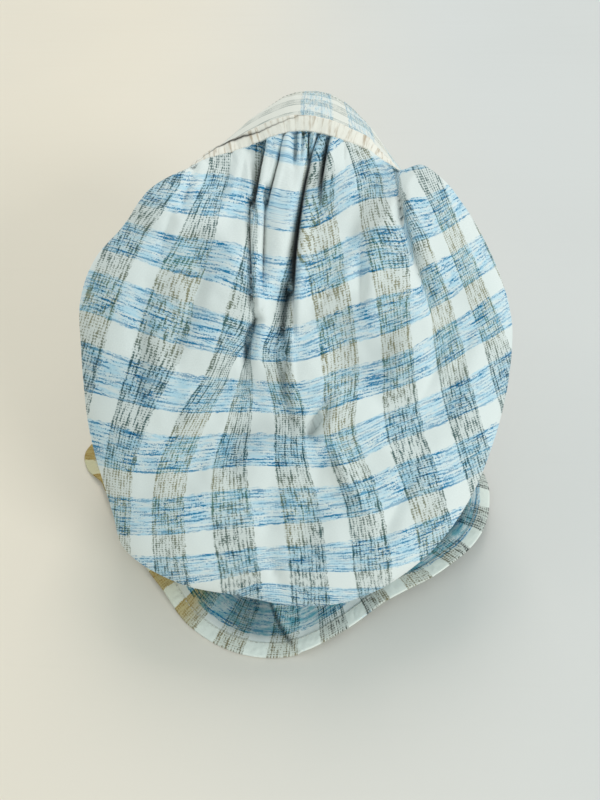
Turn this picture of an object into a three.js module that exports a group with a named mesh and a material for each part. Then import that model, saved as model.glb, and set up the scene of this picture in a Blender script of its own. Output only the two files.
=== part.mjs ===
import * as THREE from "three";
import { mergeVertices } from "three/addons/utils/BufferGeometryUtils.js";

// A prairie bonnet of plaid cotton, resting on a flat surface as it would by itself.
// Millimetres, +Z up. The face opening looks along +Y and the gathered crown sags towards -Y.

// Driving dimensions
const backRise = THREE.MathUtils.degToRad(50);
const rimHeight = 107;
const eyeDistance = 400;
const crownMiddle = { across: -2.5, up: 31 };
const crownLift = 38;
const slopeFall = 2.1;
const domeRound = 0.9;
const underRound = 1.3;
const seamGap = 0.3;

const crownCloth = 1.2;
const bandCloth = 1.8;
const brimCloth = 2.0;
const curtainCloth = 1.2;
const hemCloth = 2.0;

const bandWidth = 9;
const brimLap = 2.5;
const hemWidth = 9;
const curtainClearance = 0.7;
const curtainFlare = 1.9;
const curtainGathers = 13;
const curtainGatherRise = 1.8;

const brimFrom = -40;
const brimTo = 218;
const brimBow = 2.5;
const brimArchRound = 0.85;
const brimEdge = { middle: 7, halfWidth: 90, height: 191, cornerForward: 178, reach: 54 };

const curtainFrom = 223;
const curtainTo = 316;
const hemCircle = { across: -11, forward: 33 };

const crownRows = 18;
const bandRows = 1;
const brimColumns = 42;
const brimRows = 6;
const curtainColumns = 58;
const curtainRows = 7;
const hemRows = 2;

// The crown's outline on the plane of its rim: turn in degrees from +X, reach from its middle.
const crownOutline = [
  { turn: 8, reach: 134.9 },
  { turn: 19, reach: 134.7 },
  { turn: 29, reach: 135 },
  { turn: 40, reach: 137.2 },
  { turn: 50, reach: 139.5 },
  { turn: 56, reach: 138.6 },
  { turn: 61, reach: 128.5 },
  { turn: 119, reach: 131 },
  { turn: 132, reach: 134.7 },
  { turn: 144, reach: 131.7 },
  { turn: 156, reach: 136.9 },
  { turn: 167, reach: 137.1 },
  { turn: 180, reach: 133.1 },
  { turn: 193, reach: 134.2 },
  { turn: 212, reach: 143 },
  { turn: 222, reach: 152.4 },
  { turn: 229, reach: 162.7 },
  { turn: 243, reach: 161.8 },
  { turn: 257, reach: 156.3 },
  { turn: 270, reach: 158.4 },
  { turn: 283, reach: 159 },
  { turn: 303, reach: 150.7 },
  { turn: 321, reach: 141 },
  { turn: 336, reach: 134.7 },
  { turn: 353, reach: 133 },
];

// Where the crown is sewn on: over the head, down both sides and round the nape.
const crownSeam = [
  { turn: 9, across: 93, forward: 108, height: 112 },
  { turn: 28, across: 89, forward: 119, height: 146 },
  { turn: 46, across: 79, forward: 127, height: 172 },
  { turn: 61, across: 63.7, forward: 130.2, height: 186.8 },
  { turn: 66, across: 53, forward: 132, height: 193 },
  { turn: 72, across: 41.8, forward: 134.5, height: 199.8 },
  { turn: 89, across: 0, forward: 138, height: 209.5 },
  { turn: 106, across: -40.7, forward: 134.2, height: 198.6 },
  { turn: 118.6, across: -68.7, forward: 131.2, height: 189.8 },
  { turn: 132, across: -86, forward: 127, height: 172 },
  { turn: 150, across: -97, forward: 119, height: 146 },
  { turn: 170, across: -101, forward: 108, height: 112 },
  { turn: 190, across: -99, forward: 97, height: 80 },
  { turn: 207, across: -93, forward: 84, height: 56 },
  { turn: 220, across: -84, forward: 64, height: 45 },
  { turn: 235, across: -66, forward: 28, height: 42 },
  { turn: 251, across: -38, forward: -12, height: 43 },
  { turn: 268, across: -4, forward: -33, height: 44 },
  { turn: 285, across: 30, forward: -14, height: 43 },
  { turn: 302, across: 58, forward: 28, height: 42 },
  { turn: 318, across: 76, forward: 64, height: 45 },
  { turn: 332, across: 85, forward: 84, height: 56 },
  { turn: 349, across: 91, forward: 97, height: 80 },
];

// The way the gathering band stands off the seam: up over the head, forward at the sides, down at the nape.
const bandStand = [
  { turn: 0, across: 0.2, forward: 1, height: 0.05 },
  { turn: 40, across: 0, forward: 1, height: -0.1 },
  { turn: 60, across: -0.1, forward: 1, height: -0.2 },
  { turn: 74, across: -0.03, forward: 0.85, height: 0.45 },
  { turn: 89, across: 0, forward: 0.64, height: 0.77 },
  { turn: 105, across: 0.03, forward: 0.85, height: 0.45 },
  { turn: 119, across: 0.1, forward: 1, height: -0.2 },
  { turn: 140, across: 0, forward: 1, height: -0.1 },
  { turn: 180, across: -0.2, forward: 1, height: 0.05 },
  { turn: 215, across: -0.2, forward: 0.7, height: -0.7 },
  { turn: 240, across: -0.1, forward: 0.2, height: -1 },
  { turn: 268, across: 0, forward: 0, height: -1 },
  { turn: 297, across: 0.1, forward: 0.2, height: -1 },
  { turn: 325, across: 0.2, forward: 0.7, height: -0.7 },
];

// How far the crown hangs out past its seam, and how far it puffs there into a round edge:
// neither where the gathers show, both in full elsewhere.
const crownOverhang = [
  { turn: 50, share: 1, puff: 1 },
  { turn: 56, share: 1, puff: 0.7 },
  { turn: 60, share: 0.5, puff: 0.4 },
  { turn: 64, share: 0.1, puff: 0.2 },
  { turn: 72, share: 0, puff: 0 },
  { turn: 108, share: 0, puff: 0 },
  { turn: 114, share: 0.05, puff: 0.15 },
  { turn: 119, share: 0.5, puff: 0.35 },
  { turn: 124, share: 1, puff: 0.65 },
  { turn: 133, share: 1, puff: 1 },
  { turn: 230, share: 1, puff: 1 },
  { turn: 330, share: 1, puff: 1 },
];

// Columns of the crown's grid, closest together where it is gathered.
const crownSectors = [
  { from: -10, to: 38, columns: 9 },
  { from: 38, to: 124, columns: 48 },
  { from: 124, to: 180, columns: 9 },
  { from: 180, to: 255, columns: 10 },
  { from: 255, to: 290, columns: 7 },
  { from: 290, to: 350, columns: 8 },
];

// Pleats and folds on the rim's plane, each along a bend from its start to its end.
// Depth is how far it sinks, width how far it spreads on each side, open is its depth at the start.
const crownFolds = [
  { start: [9, 159], bend: [1, 118], end: [-10, 44], depth: 13, width: 4.6, open: 0.5 },
  { start: [19, 170], bend: [14, 145], end: [12, 112], depth: 7, width: 3.6, open: 1 },
  { start: [-10, 170], bend: [-17, 138], end: [-24, 100], depth: 7, width: 3.8, open: 1 },
  { start: [-25, 168], bend: [-27, 143], end: [-30, 116], depth: 11, width: 5.2, open: 1 },
  { start: [-30, 124], bend: [-30, 75], end: [-34, 28], depth: 5, width: 6.5, open: 0.4 },
  { start: [-34, 38], bend: [-34, 8], end: [-18, -9], depth: 4, width: 7, open: 0.2 },
  { start: [60, 150], bend: [68, 102], end: [88, 42], depth: 9, width: 8, open: 0.8 },
  { start: [88, 52], bend: [88, 8], end: [62, -17], depth: 5, width: 10, open: 0.3 },
  { start: [0, 30], bend: [6, 4], end: [8, -23], depth: 6, width: 11, open: 0.1 },
  { start: [18, -24], bend: [29, -58], end: [53, -85], depth: -4, width: 11, open: 0.1 },
  { start: [-18, -98], bend: [-14, -112], end: [-10, -125], depth: 5, width: 10, open: 0.2 },
  { start: [-66, 147], bend: [-70, 128], end: [-78, 106], depth: 8, width: 5, open: 0.9 },
  { start: [-45, 152], bend: [-50, 110], end: [-60, 60], depth: 3.5, width: 8, open: 0.5 },
  { start: [39, 130], bend: [40, 92], end: [36, 42], depth: 4, width: 6.5, open: 0.2 },
];

// The curtain's lower edge round a circle on the surface: turn in degrees, reach and height of the hem.
const curtainEdge = [
  { turn: 142, reach: 140, height: 0 },
  { turn: 158, reach: 143, height: 0 },
  { turn: 171, reach: 146, height: 0 },
  { turn: 179, reach: 156, height: 0 },
  { turn: 185, reach: 152, height: 0 },
  { turn: 192, reach: 139, height: 4 },
  { turn: 213, reach: 132, height: 6 },
  { turn: 233, reach: 136, height: 2 },
  { turn: 246, reach: 147, height: 0 },
  { turn: 260, reach: 154, height: 0 },
  { turn: 273, reach: 153, height: 0 },
  { turn: 286, reach: 144, height: 5 },
  { turn: 300, reach: 138, height: 9 },
  { turn: 318, reach: 147, height: 11 },
  { turn: 332, reach: 155, height: 12 },
  { turn: 345, reach: 153, height: 12 },
  { turn: 360, reach: 143, height: 6 },
  { turn: 375, reach: 142, height: 0 },
  { turn: 398, reach: 142, height: 0 },
];

const clothColours = {
  crown: 0xbfd2da,
  gathering_band: 0xe4e0d2,
  brim: 0xc6d5da,
  curtain: 0xb9cdd3,
  curtain_hem: 0xb4bbae,
};

const fullTurn = 360;
const { clamp, degToRad, lerp, smoothstep } = THREE.MathUtils;

// The value of a table's column between its rows, with a smooth slope through each of them.
function readTable(rows, column, turn, period = 0) {
  const count = rows.length;
  const reach = (index) => {
    const lap = Math.floor(index / count);
    const row = rows[period ? index - lap * count : clamp(index, 0, count - 1)];
    return { turn: row.turn + (period ? lap * period : 0), value: row[column] };
  };
  const first = rows[0].turn;
  const place = period ? first + ((((turn - first) % period) + period) % period) : turn;
  let index = 0;
  while (index < count - (period ? 1 : 2) && rows[index + 1] && rows[index + 1].turn <= place) {
    index += 1;
  }
  const [before, left, right, after] = [index - 1, index, index + 1, index + 2].map(reach);
  const span = right.turn - left.turn;
  const slopeAt = (from, to) => (to.turn > from.turn ? (to.value - from.value) / (to.turn - from.turn) : 0);
  const share = clamp((place - left.turn) / span, 0, 1);
  const leftSlope = slopeAt(before, right) * span;
  const rightSlope = slopeAt(left, after) * span;
  const squared = share * share;
  const cubed = squared * share;
  return (
    left.value * (2 * cubed - 3 * squared + 1) +
    leftSlope * (cubed - 2 * squared + share) +
    right.value * (3 * squared - 2 * cubed) +
    rightSlope * (cubed - squared)
  );
}

// A table's three place columns as one vector.
function readPlace(rows, turn) {
  return new THREE.Vector3(
    readTable(rows, "across", turn, fullTurn),
    readTable(rows, "forward", turn, fullTurn),
    readTable(rows, "height", turn, fullTurn),
  );
}

// The rim's plane faces up and back: up runs along its slope, and lift stands out of it.
const slopeUp = new THREE.Vector3(0, Math.sin(backRise), Math.cos(backRise));
const slopeOut = new THREE.Vector3(0, -Math.cos(backRise), Math.sin(backRise));
const slopeMiddle = new THREE.Vector3(0, 0, rimHeight);

function fromSlope(across, up, lift) {
  return slopeMiddle
    .clone()
    .addScaledVector(new THREE.Vector3(1, 0, 0), across)
    .addScaledVector(slopeUp, up)
    .addScaledVector(slopeOut, lift);
}

function toSlope(place) {
  const offset = place.clone().sub(slopeMiddle);
  return { across: offset.x, up: offset.dot(slopeUp), lift: offset.dot(slopeOut) };
}

// A point charted on the rim's plane and lifted towards a point eyeDistance out of it.
function lifted(across, up, lift) {
  const narrowing = 1 - lift / eyeDistance;
  return fromSlope(across * narrowing, up * narrowing, lift);
}

function chartOf(place) {
  const local = toSlope(place);
  const widening = 1 / (1 - local.lift / eyeDistance);
  return { across: local.across * widening, up: local.up * widening, lift: local.lift };
}

// Each fold as a chain of points with its depth along the way.
const foldSteps = 14;
const foldChains = crownFolds.map((fold) => {
  const path = new THREE.QuadraticBezierCurve(
    new THREE.Vector2(...fold.start),
    new THREE.Vector2(...fold.bend),
    new THREE.Vector2(...fold.end),
  );
  return { ...fold, points: path.getPoints(foldSteps) };
});

// How deep the folds sink at a place on the chart.
function foldDepth(across, up) {
  let depth = 0;
  for (const fold of foldChains) {
    let nearest = Infinity;
    let along = 0;
    fold.points.slice(1).forEach((end, index) => {
      const start = fold.points[index];
      const run = end.clone().sub(start);
      const offset = new THREE.Vector2(across, up).sub(start);
      const share = clamp(offset.dot(run) / run.lengthSq(), 0, 1);
      const distance = offset.addScaledVector(run, -share).length();
      if (distance < nearest) {
        nearest = distance;
        along = (index + share) / foldSteps;
      }
    });
    const opening = lerp(fold.open, 1, smoothstep(along, 0, 0.35));
    const closing = 1 - smoothstep(along, 0.55, 1);
    depth += fold.depth * opening * closing * Math.exp(-((nearest / fold.width) ** 2) / 1.4);
  }
  return depth;
}

// A point of the crown: along runs from its middle, over its rim and back in to its seam.
function crownPoint(turn, along) {
  const overhang = clamp(readTable(crownOverhang, "share", turn, fullTurn), 0, 1);
  const puff = clamp(readTable(crownOverhang, "puff", turn, fullTurn), 0, 1);
  const seam = chartOf(readPlace(crownSeam, turn));
  const angle = degToRad(turn);
  const reach = readTable(crownOutline, "reach", turn, fullTurn);
  const rim = {
    across: lerp(seam.across, crownMiddle.across + reach * Math.cos(angle), overhang),
    up: lerp(seam.up, crownMiddle.up + reach * Math.sin(angle), overhang),
    lift: lerp(seam.lift, 0, overhang),
  };
  const rimShare = lerp(1, 0.68, overhang);
  if (along <= rimShare) {
    const share = along / rimShare;
    const swing = (share * Math.PI) / 2;
    const out = lerp(share, Math.sin(swing) ** domeRound, puff);
    const slope = 1 - share ** slopeFall;
    const dome = Math.cos(swing) ** domeRound;
    const across = lerp(crownMiddle.across, rim.across, out);
    const up = lerp(crownMiddle.up, rim.up, out);
    const fading = 1 - Math.max(overhang, 0.6) * out ** 8;
    const lift = lerp(rim.lift, crownLift, lerp(slope, dome, puff));
    return lifted(across, up, lift - foldDepth(across, up) * fading);
  }
  const swing = (((along - rimShare) / (1 - rimShare)) * Math.PI) / 2;
  const inward = 1 - Math.cos(swing) ** underRound;
  const back = Math.sin(swing) ** underRound;
  return lifted(
    lerp(rim.across, seam.across, inward),
    lerp(rim.up, seam.up, inward),
    lerp(rim.lift, seam.lift, back),
  );
}

// The seam's own directions: along it, off it with the band, and out of the band's face.
function seamFrame(turn) {
  const step = 0.5;
  const place = readPlace(crownSeam, turn);
  const run = readPlace(crownSeam, turn + step).sub(readPlace(crownSeam, turn - step)).normalize();
  const stand = readPlace(bandStand, turn);
  stand.addScaledVector(run, -stand.dot(run)).normalize();
  const face = new THREE.Vector3().crossVectors(stand, run).normalize();
  return { place, run, stand, face };
}

// Clearance from a seam line for two cloth edges that meet on it at an angle.
function edgeClearance(arriving, leaving, cloth) {
  const half = Math.acos(clamp(arriving.dot(leaving), -1, 1)) / 2;
  return (seamGap / 2 + (cloth / 2) * Math.sin(half)) / Math.cos(half);
}

// A closed wall of cloth about a grid of points. The grid's first row may be one point, a pole.
function clothWall(grid, cloth, wraps) {
  const columns = grid[grid.length - 1].length;
  const pole = grid[0].length === 1;
  const at = (row, column) => {
    const line = grid[clamp(row, 0, grid.length - 1)];
    if (line.length === 1) {
      return line[0];
    }
    const index = wraps ? (column + columns) % columns : clamp(column, 0, columns - 1);
    return line[index];
  };
  const faceNormal = (row, column) => {
    const around = at(row, column + 1).clone().sub(at(row, column - 1));
    const along = at(row + 1, column).clone().sub(at(row - 1, column));
    return around.cross(along).normalize();
  };
  const positions = [];
  const sides = [1, -1].map((side) =>
    grid.map((line, row) =>
      line.map((point, column) => {
        const normal = new THREE.Vector3();
        if (line.length === 1) {
          const ring = grid[1];
          ring.forEach((ringPoint, index) => {
            const next = ring[(index + 1) % ring.length];
            normal.add(next.clone().sub(point).cross(ringPoint.clone().sub(point)).negate());
          });
          normal.normalize();
        } else {
          normal.copy(faceNormal(row, column));
        }
        const place = point.clone().addScaledVector(normal, (side * cloth) / 2);
        positions.push(place.x, place.y, Math.max(place.z, 0));
        return positions.length / 3 - 1;
      }),
    ),
  );
  const triangles = [];
  const quad = (a, b, c, d) => triangles.push(a, b, c, a, c, d);
  const lastColumn = wraps ? columns : columns - 1;
  sides.forEach((side, sideIndex) => {
    for (let row = 0; row < grid.length - 1; row += 1) {
      for (let column = 0; column < lastColumn; column += 1) {
        const next = (column + 1) % columns;
        const corners =
          pole && row === 0
            ? [side[0][0], side[1][next], side[1][column]]
            : [side[row][column], side[row][next], side[row + 1][next], side[row + 1][column]];
        const ordered = sideIndex === 0 ? corners : corners.reverse();
        if (ordered.length === 3) {
          triangles.push(...ordered);
        } else {
          quad(...ordered);
        }
      }
    }
  });
  const [outer, inner] = sides;
  const last = grid.length - 1;
  for (let column = 0; column < lastColumn; column += 1) {
    const next = (column + 1) % columns;
    quad(outer[last][column], outer[last][next], inner[last][next], inner[last][column]);
    if (!pole) {
      quad(outer[0][next], outer[0][column], inner[0][column], inner[0][next]);
    }
  }
  if (!wraps) {
    const end = columns - 1;
    for (let row = 0; row < last; row += 1) {
      quad(outer[row][0], outer[row + 1][0], inner[row + 1][0], inner[row][0]);
      quad(outer[row + 1][end], outer[row][end], inner[row][end], inner[row + 1][end]);
    }
  }
  return facingOut(positions, triangles);
}

// The geometry with its faces turned outwards.
function facingOut(positions, triangles) {
  const corner = (index) => new THREE.Vector3().fromArray(positions, 3 * index);
  let volume = 0;
  for (let index = 0; index < triangles.length; index += 3) {
    const [a, b, c] = triangles.slice(index, index + 3).map(corner);
    volume += a.dot(b.cross(c));
  }
  const turned = volume < 0 ? triangles.slice().reverse() : triangles;
  const geometry = new THREE.BufferGeometry();
  geometry.setAttribute("position", new THREE.Float32BufferAttribute(positions, 3));
  geometry.setIndex(turned);
  const merged = mergeVertices(geometry, 1e-4);
  merged.computeVertexNormals();
  return merged;
}

function rows(count, makeRow) {
  return Array.from({ length: count + 1 }, (_, index) => makeRow(index / count));
}

function crownTurns() {
  return crownSectors.flatMap(({ from, to, columns }) =>
    Array.from({ length: columns }, (_, index) => lerp(from, to, index / columns)),
  );
}

// The crown stops just short of the band, which takes its edge.
function makeCrown() {
  const turns = crownTurns();
  const ends = turns.map((turn) => {
    const frame = seamFrame(turn);
    const arriving = frame.place.clone().sub(crownPoint(turn, 0.985)).normalize();
    const clearance = edgeClearance(arriving, frame.stand, Math.max(crownCloth, bandCloth));
    return frame.place.clone().addScaledVector(arriving, -clearance);
  });
  const grid = rows(crownRows, (share) => {
    if (share === 0) {
      return [crownPoint(0, 0)];
    }
    return turns.map((turn, index) => (share === 1 ? ends[index] : crownPoint(turn, share)));
  });
  return clothWall(grid, crownCloth, true);
}

function makeBand() {
  const turns = crownTurns();
  const grid = rows(bandRows, (share) =>
    turns.map((turn) => {
      const { place, stand } = seamFrame(turn);
      const arriving = place.clone().sub(crownPoint(turn, 0.985)).normalize();
      const clearance = edgeClearance(arriving, stand, Math.max(crownCloth, bandCloth));
      return place.clone().addScaledVector(stand, lerp(clearance, bandWidth, share));
    }),
  );
  return clothWall(grid, bandCloth, true);
}

// The brim's root lies under the band's free edge, and its front edge is an arch on the surface.
function brimCurves() {
  const steps = 60;
  const root = [];
  const edge = [];
  for (let step = 0; step <= steps; step += 1) {
    const turn = lerp(brimFrom, brimTo, step / steps);
    const { place, stand, face } = seamFrame(turn);
    const behind = bandCloth / 2 + seamGap + brimCloth * 0.55;
    const start = place.clone().addScaledVector(stand, bandWidth - brimLap);
    root.push(start.addScaledVector(face, -behind));
    const swing = (Math.PI * step) / steps;
    const rise = Math.sin(swing);
    edge.push(
      new THREE.Vector3(
        brimEdge.middle + brimEdge.halfWidth * Math.cos(swing),
        brimEdge.cornerForward + brimEdge.reach * rise,
        brimEdge.height * rise ** brimArchRound,
      ),
    );
  }
  return { root: new THREE.CatmullRomCurve3(root), edge: new THREE.CatmullRomCurve3(edge) };
}

function makeBrim() {
  const { root, edge } = brimCurves();
  const middle = new THREE.Vector3(brimEdge.middle, 0, brimEdge.height / 3);
  const grid = rows(brimRows, (share) =>
    rows(brimColumns, (along) => {
      const start = root.getPointAt(along);
      const end = edge.getPointAt(along);
      const outward = end.clone().lerp(start, 0.5).sub(middle).setY(0).normalize();
      return start.lerp(end, share).addScaledVector(outward, brimBow * Math.sin(Math.PI * share));
    }),
  );
  return clothWall(grid, brimCloth, false);
}

// A point of the curtain, distance millimetres down from the band.
function curtainPoint(share, distanceLeft) {
  const turn = lerp(curtainFrom, curtainTo, share);
  const { place, stand } = seamFrame(turn);
  const start = place.addScaledVector(stand, bandWidth + curtainClearance);
  const first = curtainEdge[0].turn;
  const last = curtainEdge[curtainEdge.length - 1].turn;
  const edgeTurn = lerp(first, last, share);
  const reach = readTable(curtainEdge, "reach", edgeTurn);
  const height = readTable(curtainEdge, "height", edgeTurn);
  const angle = degToRad(edgeTurn);
  const end = new THREE.Vector3(
    hemCircle.across + reach * Math.cos(angle),
    hemCircle.forward + reach * Math.sin(angle),
    height + hemCloth * 0.4,
  );
  const length = start.distanceTo(end);
  const done = 1 - distanceLeft(length) / length;
  const point = start.clone().lerp(end, done);
  point.z = lerp(start.z, end.z, 1 - (1 - done) ** curtainFlare);
  const gather = Math.sin(2 * Math.PI * curtainGathers * share);
  point.z += curtainGatherRise * gather * Math.sin(Math.PI * clamp(done, 0, 1) ** 0.6);
  return point;
}

function makeCurtain() {
  const grid = rows(curtainRows, (down) =>
    rows(curtainColumns, (share) =>
      curtainPoint(share, (length) => lerp(length, hemWidth + seamGap, down)),
    ),
  );
  return clothWall(grid, curtainCloth, false);
}

function makeCurtainHem() {
  const grid = rows(hemRows, (down) =>
    rows(curtainColumns, (share) => curtainPoint(share, () => lerp(hemWidth, 0, down))),
  );
  return clothWall(grid, hemCloth, false);
}

const pieces = {
  crown: makeCrown(),
  gathering_band: makeBand(),
  brim: makeBrim(),
  curtain: makeCurtain(),
  curtain_hem: makeCurtainHem(),
};

// The bonnet stands with the middle of its footprint on the origin.
const footprint = new THREE.Box3();
Object.values(pieces).forEach((geometry) => {
  geometry.computeBoundingBox();
  footprint.union(geometry.boundingBox);
});
const bonnet = new THREE.Group();
for (const [name, geometry] of Object.entries(pieces)) {
  const material = new THREE.MeshStandardMaterial({
    color: clothColours[name],
    roughness: 0.9,
    metalness: 0,
  });
  const mesh = new THREE.Mesh(geometry, material);
  mesh.name = name;
  bonnet.add(mesh);
}
bonnet.position.set(
  -(footprint.min.x + footprint.max.x) / 2,
  -(footprint.min.y + footprint.max.y) / 2,
  -footprint.min.z,
);

export default bonnet;
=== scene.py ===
"""Dresses the prairie bonnet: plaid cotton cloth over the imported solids, in metres, +Z up.

The pattern's own frame is in millimetres. It is the frame of the part's tables, and it is
moved by FOOTPRINT_SHIFT into the row's frame, where the middle of the footprint is the origin.
The face opening looks along +Y and the puffed crown sags towards -Y, where the camera stands.
"""

import logging
import math
from dataclasses import dataclass
from enum import Enum, IntEnum
from typing import Callable, Optional, Union

import bmesh
import bpy
import numpy as np
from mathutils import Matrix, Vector


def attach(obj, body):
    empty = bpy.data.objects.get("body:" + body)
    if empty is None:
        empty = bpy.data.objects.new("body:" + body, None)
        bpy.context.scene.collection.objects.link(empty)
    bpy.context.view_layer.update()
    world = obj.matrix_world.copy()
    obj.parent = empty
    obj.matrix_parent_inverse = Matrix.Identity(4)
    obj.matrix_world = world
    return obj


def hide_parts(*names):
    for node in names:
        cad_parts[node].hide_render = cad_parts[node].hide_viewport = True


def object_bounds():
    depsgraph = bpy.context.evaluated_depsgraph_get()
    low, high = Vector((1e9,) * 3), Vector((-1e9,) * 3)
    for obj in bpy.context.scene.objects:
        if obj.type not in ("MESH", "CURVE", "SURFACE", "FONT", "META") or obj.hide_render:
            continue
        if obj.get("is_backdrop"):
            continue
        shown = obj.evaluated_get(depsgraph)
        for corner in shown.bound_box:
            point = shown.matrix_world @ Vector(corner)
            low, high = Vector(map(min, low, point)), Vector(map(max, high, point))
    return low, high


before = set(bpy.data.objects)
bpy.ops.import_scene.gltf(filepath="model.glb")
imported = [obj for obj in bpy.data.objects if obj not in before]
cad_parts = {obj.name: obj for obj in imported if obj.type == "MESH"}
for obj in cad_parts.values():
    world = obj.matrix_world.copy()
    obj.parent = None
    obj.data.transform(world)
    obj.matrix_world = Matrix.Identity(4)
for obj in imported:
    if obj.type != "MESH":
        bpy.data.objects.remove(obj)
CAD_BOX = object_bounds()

log = logging.getLogger("bonnet")

Array = np.ndarray
Rows = tuple[tuple[float, ...], ...]
Object = bpy.types.Object
Span = tuple[float, float]

MM = 0.001
FULL_TURN = 360.0
FIRST_TURN = -10.0
LAST_TURN = FIRST_TURN + FULL_TURN
FOOTPRINT_SHIFT = np.array([14.795433, -55.587505, 0.0])
FLOOR_GAP = 0.05
PLAID_PERIOD = 38.0
PERIOD_THREADS = 60.0


class Seed(IntEnum):
    """Seeds of the soft noise. Noise of several sizes counts on from its first seed."""

    WRINKLES = 11
    GATHERS = 31
    RUFFLE = 51
    SMALL_RUFFLE = 52
    WAVES = 61
    SMALL_WAVES = 62
    HEM = 63
    GAP = 71


class Slot(Enum):
    """The record's material slots."""

    PLAID = "plaid_cotton"
    CREAM = "cream_band"
    HEM = "hem_cotton"


class Hold(Enum):
    GATHERED = "gathered"
    STRETCHED = "stretched"
    HUNG = "hung"
    FOLDED = "folded"


def lerp(low: Array, high: Array, share: Array) -> Array:
    """The value at a share of the way from low to high."""
    return low + (high - low) * share


def smoothstep(value: Array, low: float, high: float) -> Array:
    """An S-shaped rise from 0 at low to 1 at high: 3t^2 - 2t^3 of the clamped share t."""
    share = np.clip((value - low) / (high - low), 0.0, 1.0)
    return share * share * (3.0 - 2.0 * share)


def unit(vectors: Array) -> Array:
    """The vectors at length one, along their last axis."""
    length = np.linalg.norm(vectors, axis=-1, keepdims=True)
    return vectors / np.maximum(length, 1e-12)


def soft_noise(across: Array, along: Array, seed: int) -> Array:
    """Smooth bumps between about -1 and 1, with one lattice cell for each unit of length.

    Each lattice corner has a seeded random slope. The value is the four corners' slopes times
    the offsets from them, blended by the quintic 6t^5 - 15t^4 + 10t^3.

    Args:
        across: First coordinate, in lattice cells.
        along: Second coordinate, in lattice cells; the two shapes only have to broadcast.
        seed: Seed of the slopes.

    Returns:
        The noise at each place.
    """
    size = 64
    angles = np.random.default_rng(seed).uniform(0.0, 2.0 * math.pi, (size, size))
    slopes = np.stack([np.cos(angles), np.sin(angles)], -1)
    low_x, low_y = np.floor(across).astype(int), np.floor(along).astype(int)
    part_x, part_y = across - low_x, along - low_y

    def corner(step_x: int, step_y: int) -> Array:
        """One corner's slope times the offset from it."""
        slope = slopes[(low_x + step_x) % size, (low_y + step_y) % size]
        return slope[..., 0] * (part_x - step_x) + slope[..., 1] * (part_y - step_y)

    blend_x = part_x**3 * (part_x * (part_x * 6 - 15) + 10)
    blend_y = part_y**3 * (part_y * (part_y * 6 - 15) + 10)
    near = lerp(corner(0, 0), corner(1, 0), blend_x)
    far = lerp(corner(0, 1), corner(1, 1), blend_x)
    return 1.6 * lerp(near, far, blend_y)


@dataclass(frozen=True)
class TurnTable:
    """A pattern table with named columns, read between its rows by a smooth curve.

    Attributes:
        columns: Names of the columns. The first is the turn, in degrees.
        rows: The rows, in the order of their turns.
        period: The turn after which the rows repeat, or 0 where they end.
    """

    columns: tuple[str, ...]
    rows: Rows
    period: float = 0.0

    def read(self, column: str, turn: Array) -> Array:
        """A column's value at each turn, by the cubic through the rows.

        The cubic has the rows' values at both ends of a span and, as its slopes there, the
        slopes of the chords over the two spans around each row.

        Args:
            column: Name of the column.
            turn: Turns in degrees.

        Returns:
            The values, in the shape of turn.
        """
        table = np.array(self.rows, float)
        turns, values = table[:, 0], table[:, self.columns.index(column)]
        place = np.asarray(turn, float)
        if self.period:
            laps = (-self.period, 0.0, self.period)
            place = turns[0] + np.mod(place - turns[0], self.period)
            turns = np.concatenate([turns + lap for lap in laps])
            values = np.tile(values, len(laps))
        last = len(turns) - 1
        left = np.clip(np.searchsorted(turns, place, side="right") - 1, 0, last - 1)
        right, before, after = left + 1, np.maximum(left - 1, 0), np.minimum(left + 2, last)
        span = turns[right] - turns[left]
        share = np.clip((place - turns[left]) / span, 0.0, 1.0)
        left_slope = (values[right] - values[before]) / (turns[right] - turns[before]) * span
        right_slope = (values[after] - values[left]) / (turns[after] - turns[left]) * span
        squared, cubed = share**2, share**3
        return (
            values[left] * (2 * cubed - 3 * squared + 1)
            + left_slope * (cubed - 2 * squared + share)
            + values[right] * (3 * squared - 2 * cubed)
            + right_slope * (cubed - squared)
        )

    def place(self, turn: Array) -> Array:
        """The across, forward and height columns as points."""
        names = ("across", "forward", "height")
        return np.stack([self.read(name, turn) for name in names], -1)


@dataclass(frozen=True)
class RimPlane:
    """The plane of the crown's rim, which faces up and back towards the eye.

    Attributes:
        rise_deg: Angle of the plane's outward direction over the horizon.
        height: Height of the plane's middle, in mm.
        eye: Distance from the plane's middle out to the eye, in mm.
    """

    rise_deg: float = 50.0
    height: float = 107.0
    eye: float = 400.0

    def axes(self) -> tuple[Array, Array, Array]:
        """The plane's across, up and outward directions."""
        sine, cosine = math.sin(math.radians(self.rise_deg)), math.cos(math.radians(self.rise_deg))
        return np.array([1.0, 0, 0]), np.array([0, sine, cosine]), np.array([0, -cosine, sine])

    def middle(self) -> Array:
        """The plane's middle."""
        return np.array([0.0, 0.0, self.height])

    def lifted(self, across: Array, up: Array, lift: Array) -> Array:
        """Points charted on the plane and lifted along their lines to the eye.

        Args:
            across: Chart coordinate across, in mm.
            up: Chart coordinate up the slope, in mm.
            lift: Height out of the plane, in mm.

        Returns:
            The points: middle + k*across*X + k*up*U + lift*N, with k = 1 - lift/eye.
        """
        side, slope, out = self.axes()
        narrowing = 1.0 - lift / self.eye
        return (
            self.middle()
            + (across * narrowing)[..., None] * side
            + (up * narrowing)[..., None] * slope
            + lift[..., None] * out
        )

    def chart(self, places: Array) -> tuple[Array, Array, Array]:
        """The chart coordinates and lift of points, the reverse of lifted."""
        side, slope, out = self.axes()
        offset = places - self.middle()
        lift = offset @ out
        widening = 1.0 / (1.0 - lift / self.eye)
        return (offset @ side) * widening, (offset @ slope) * widening, lift


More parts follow.
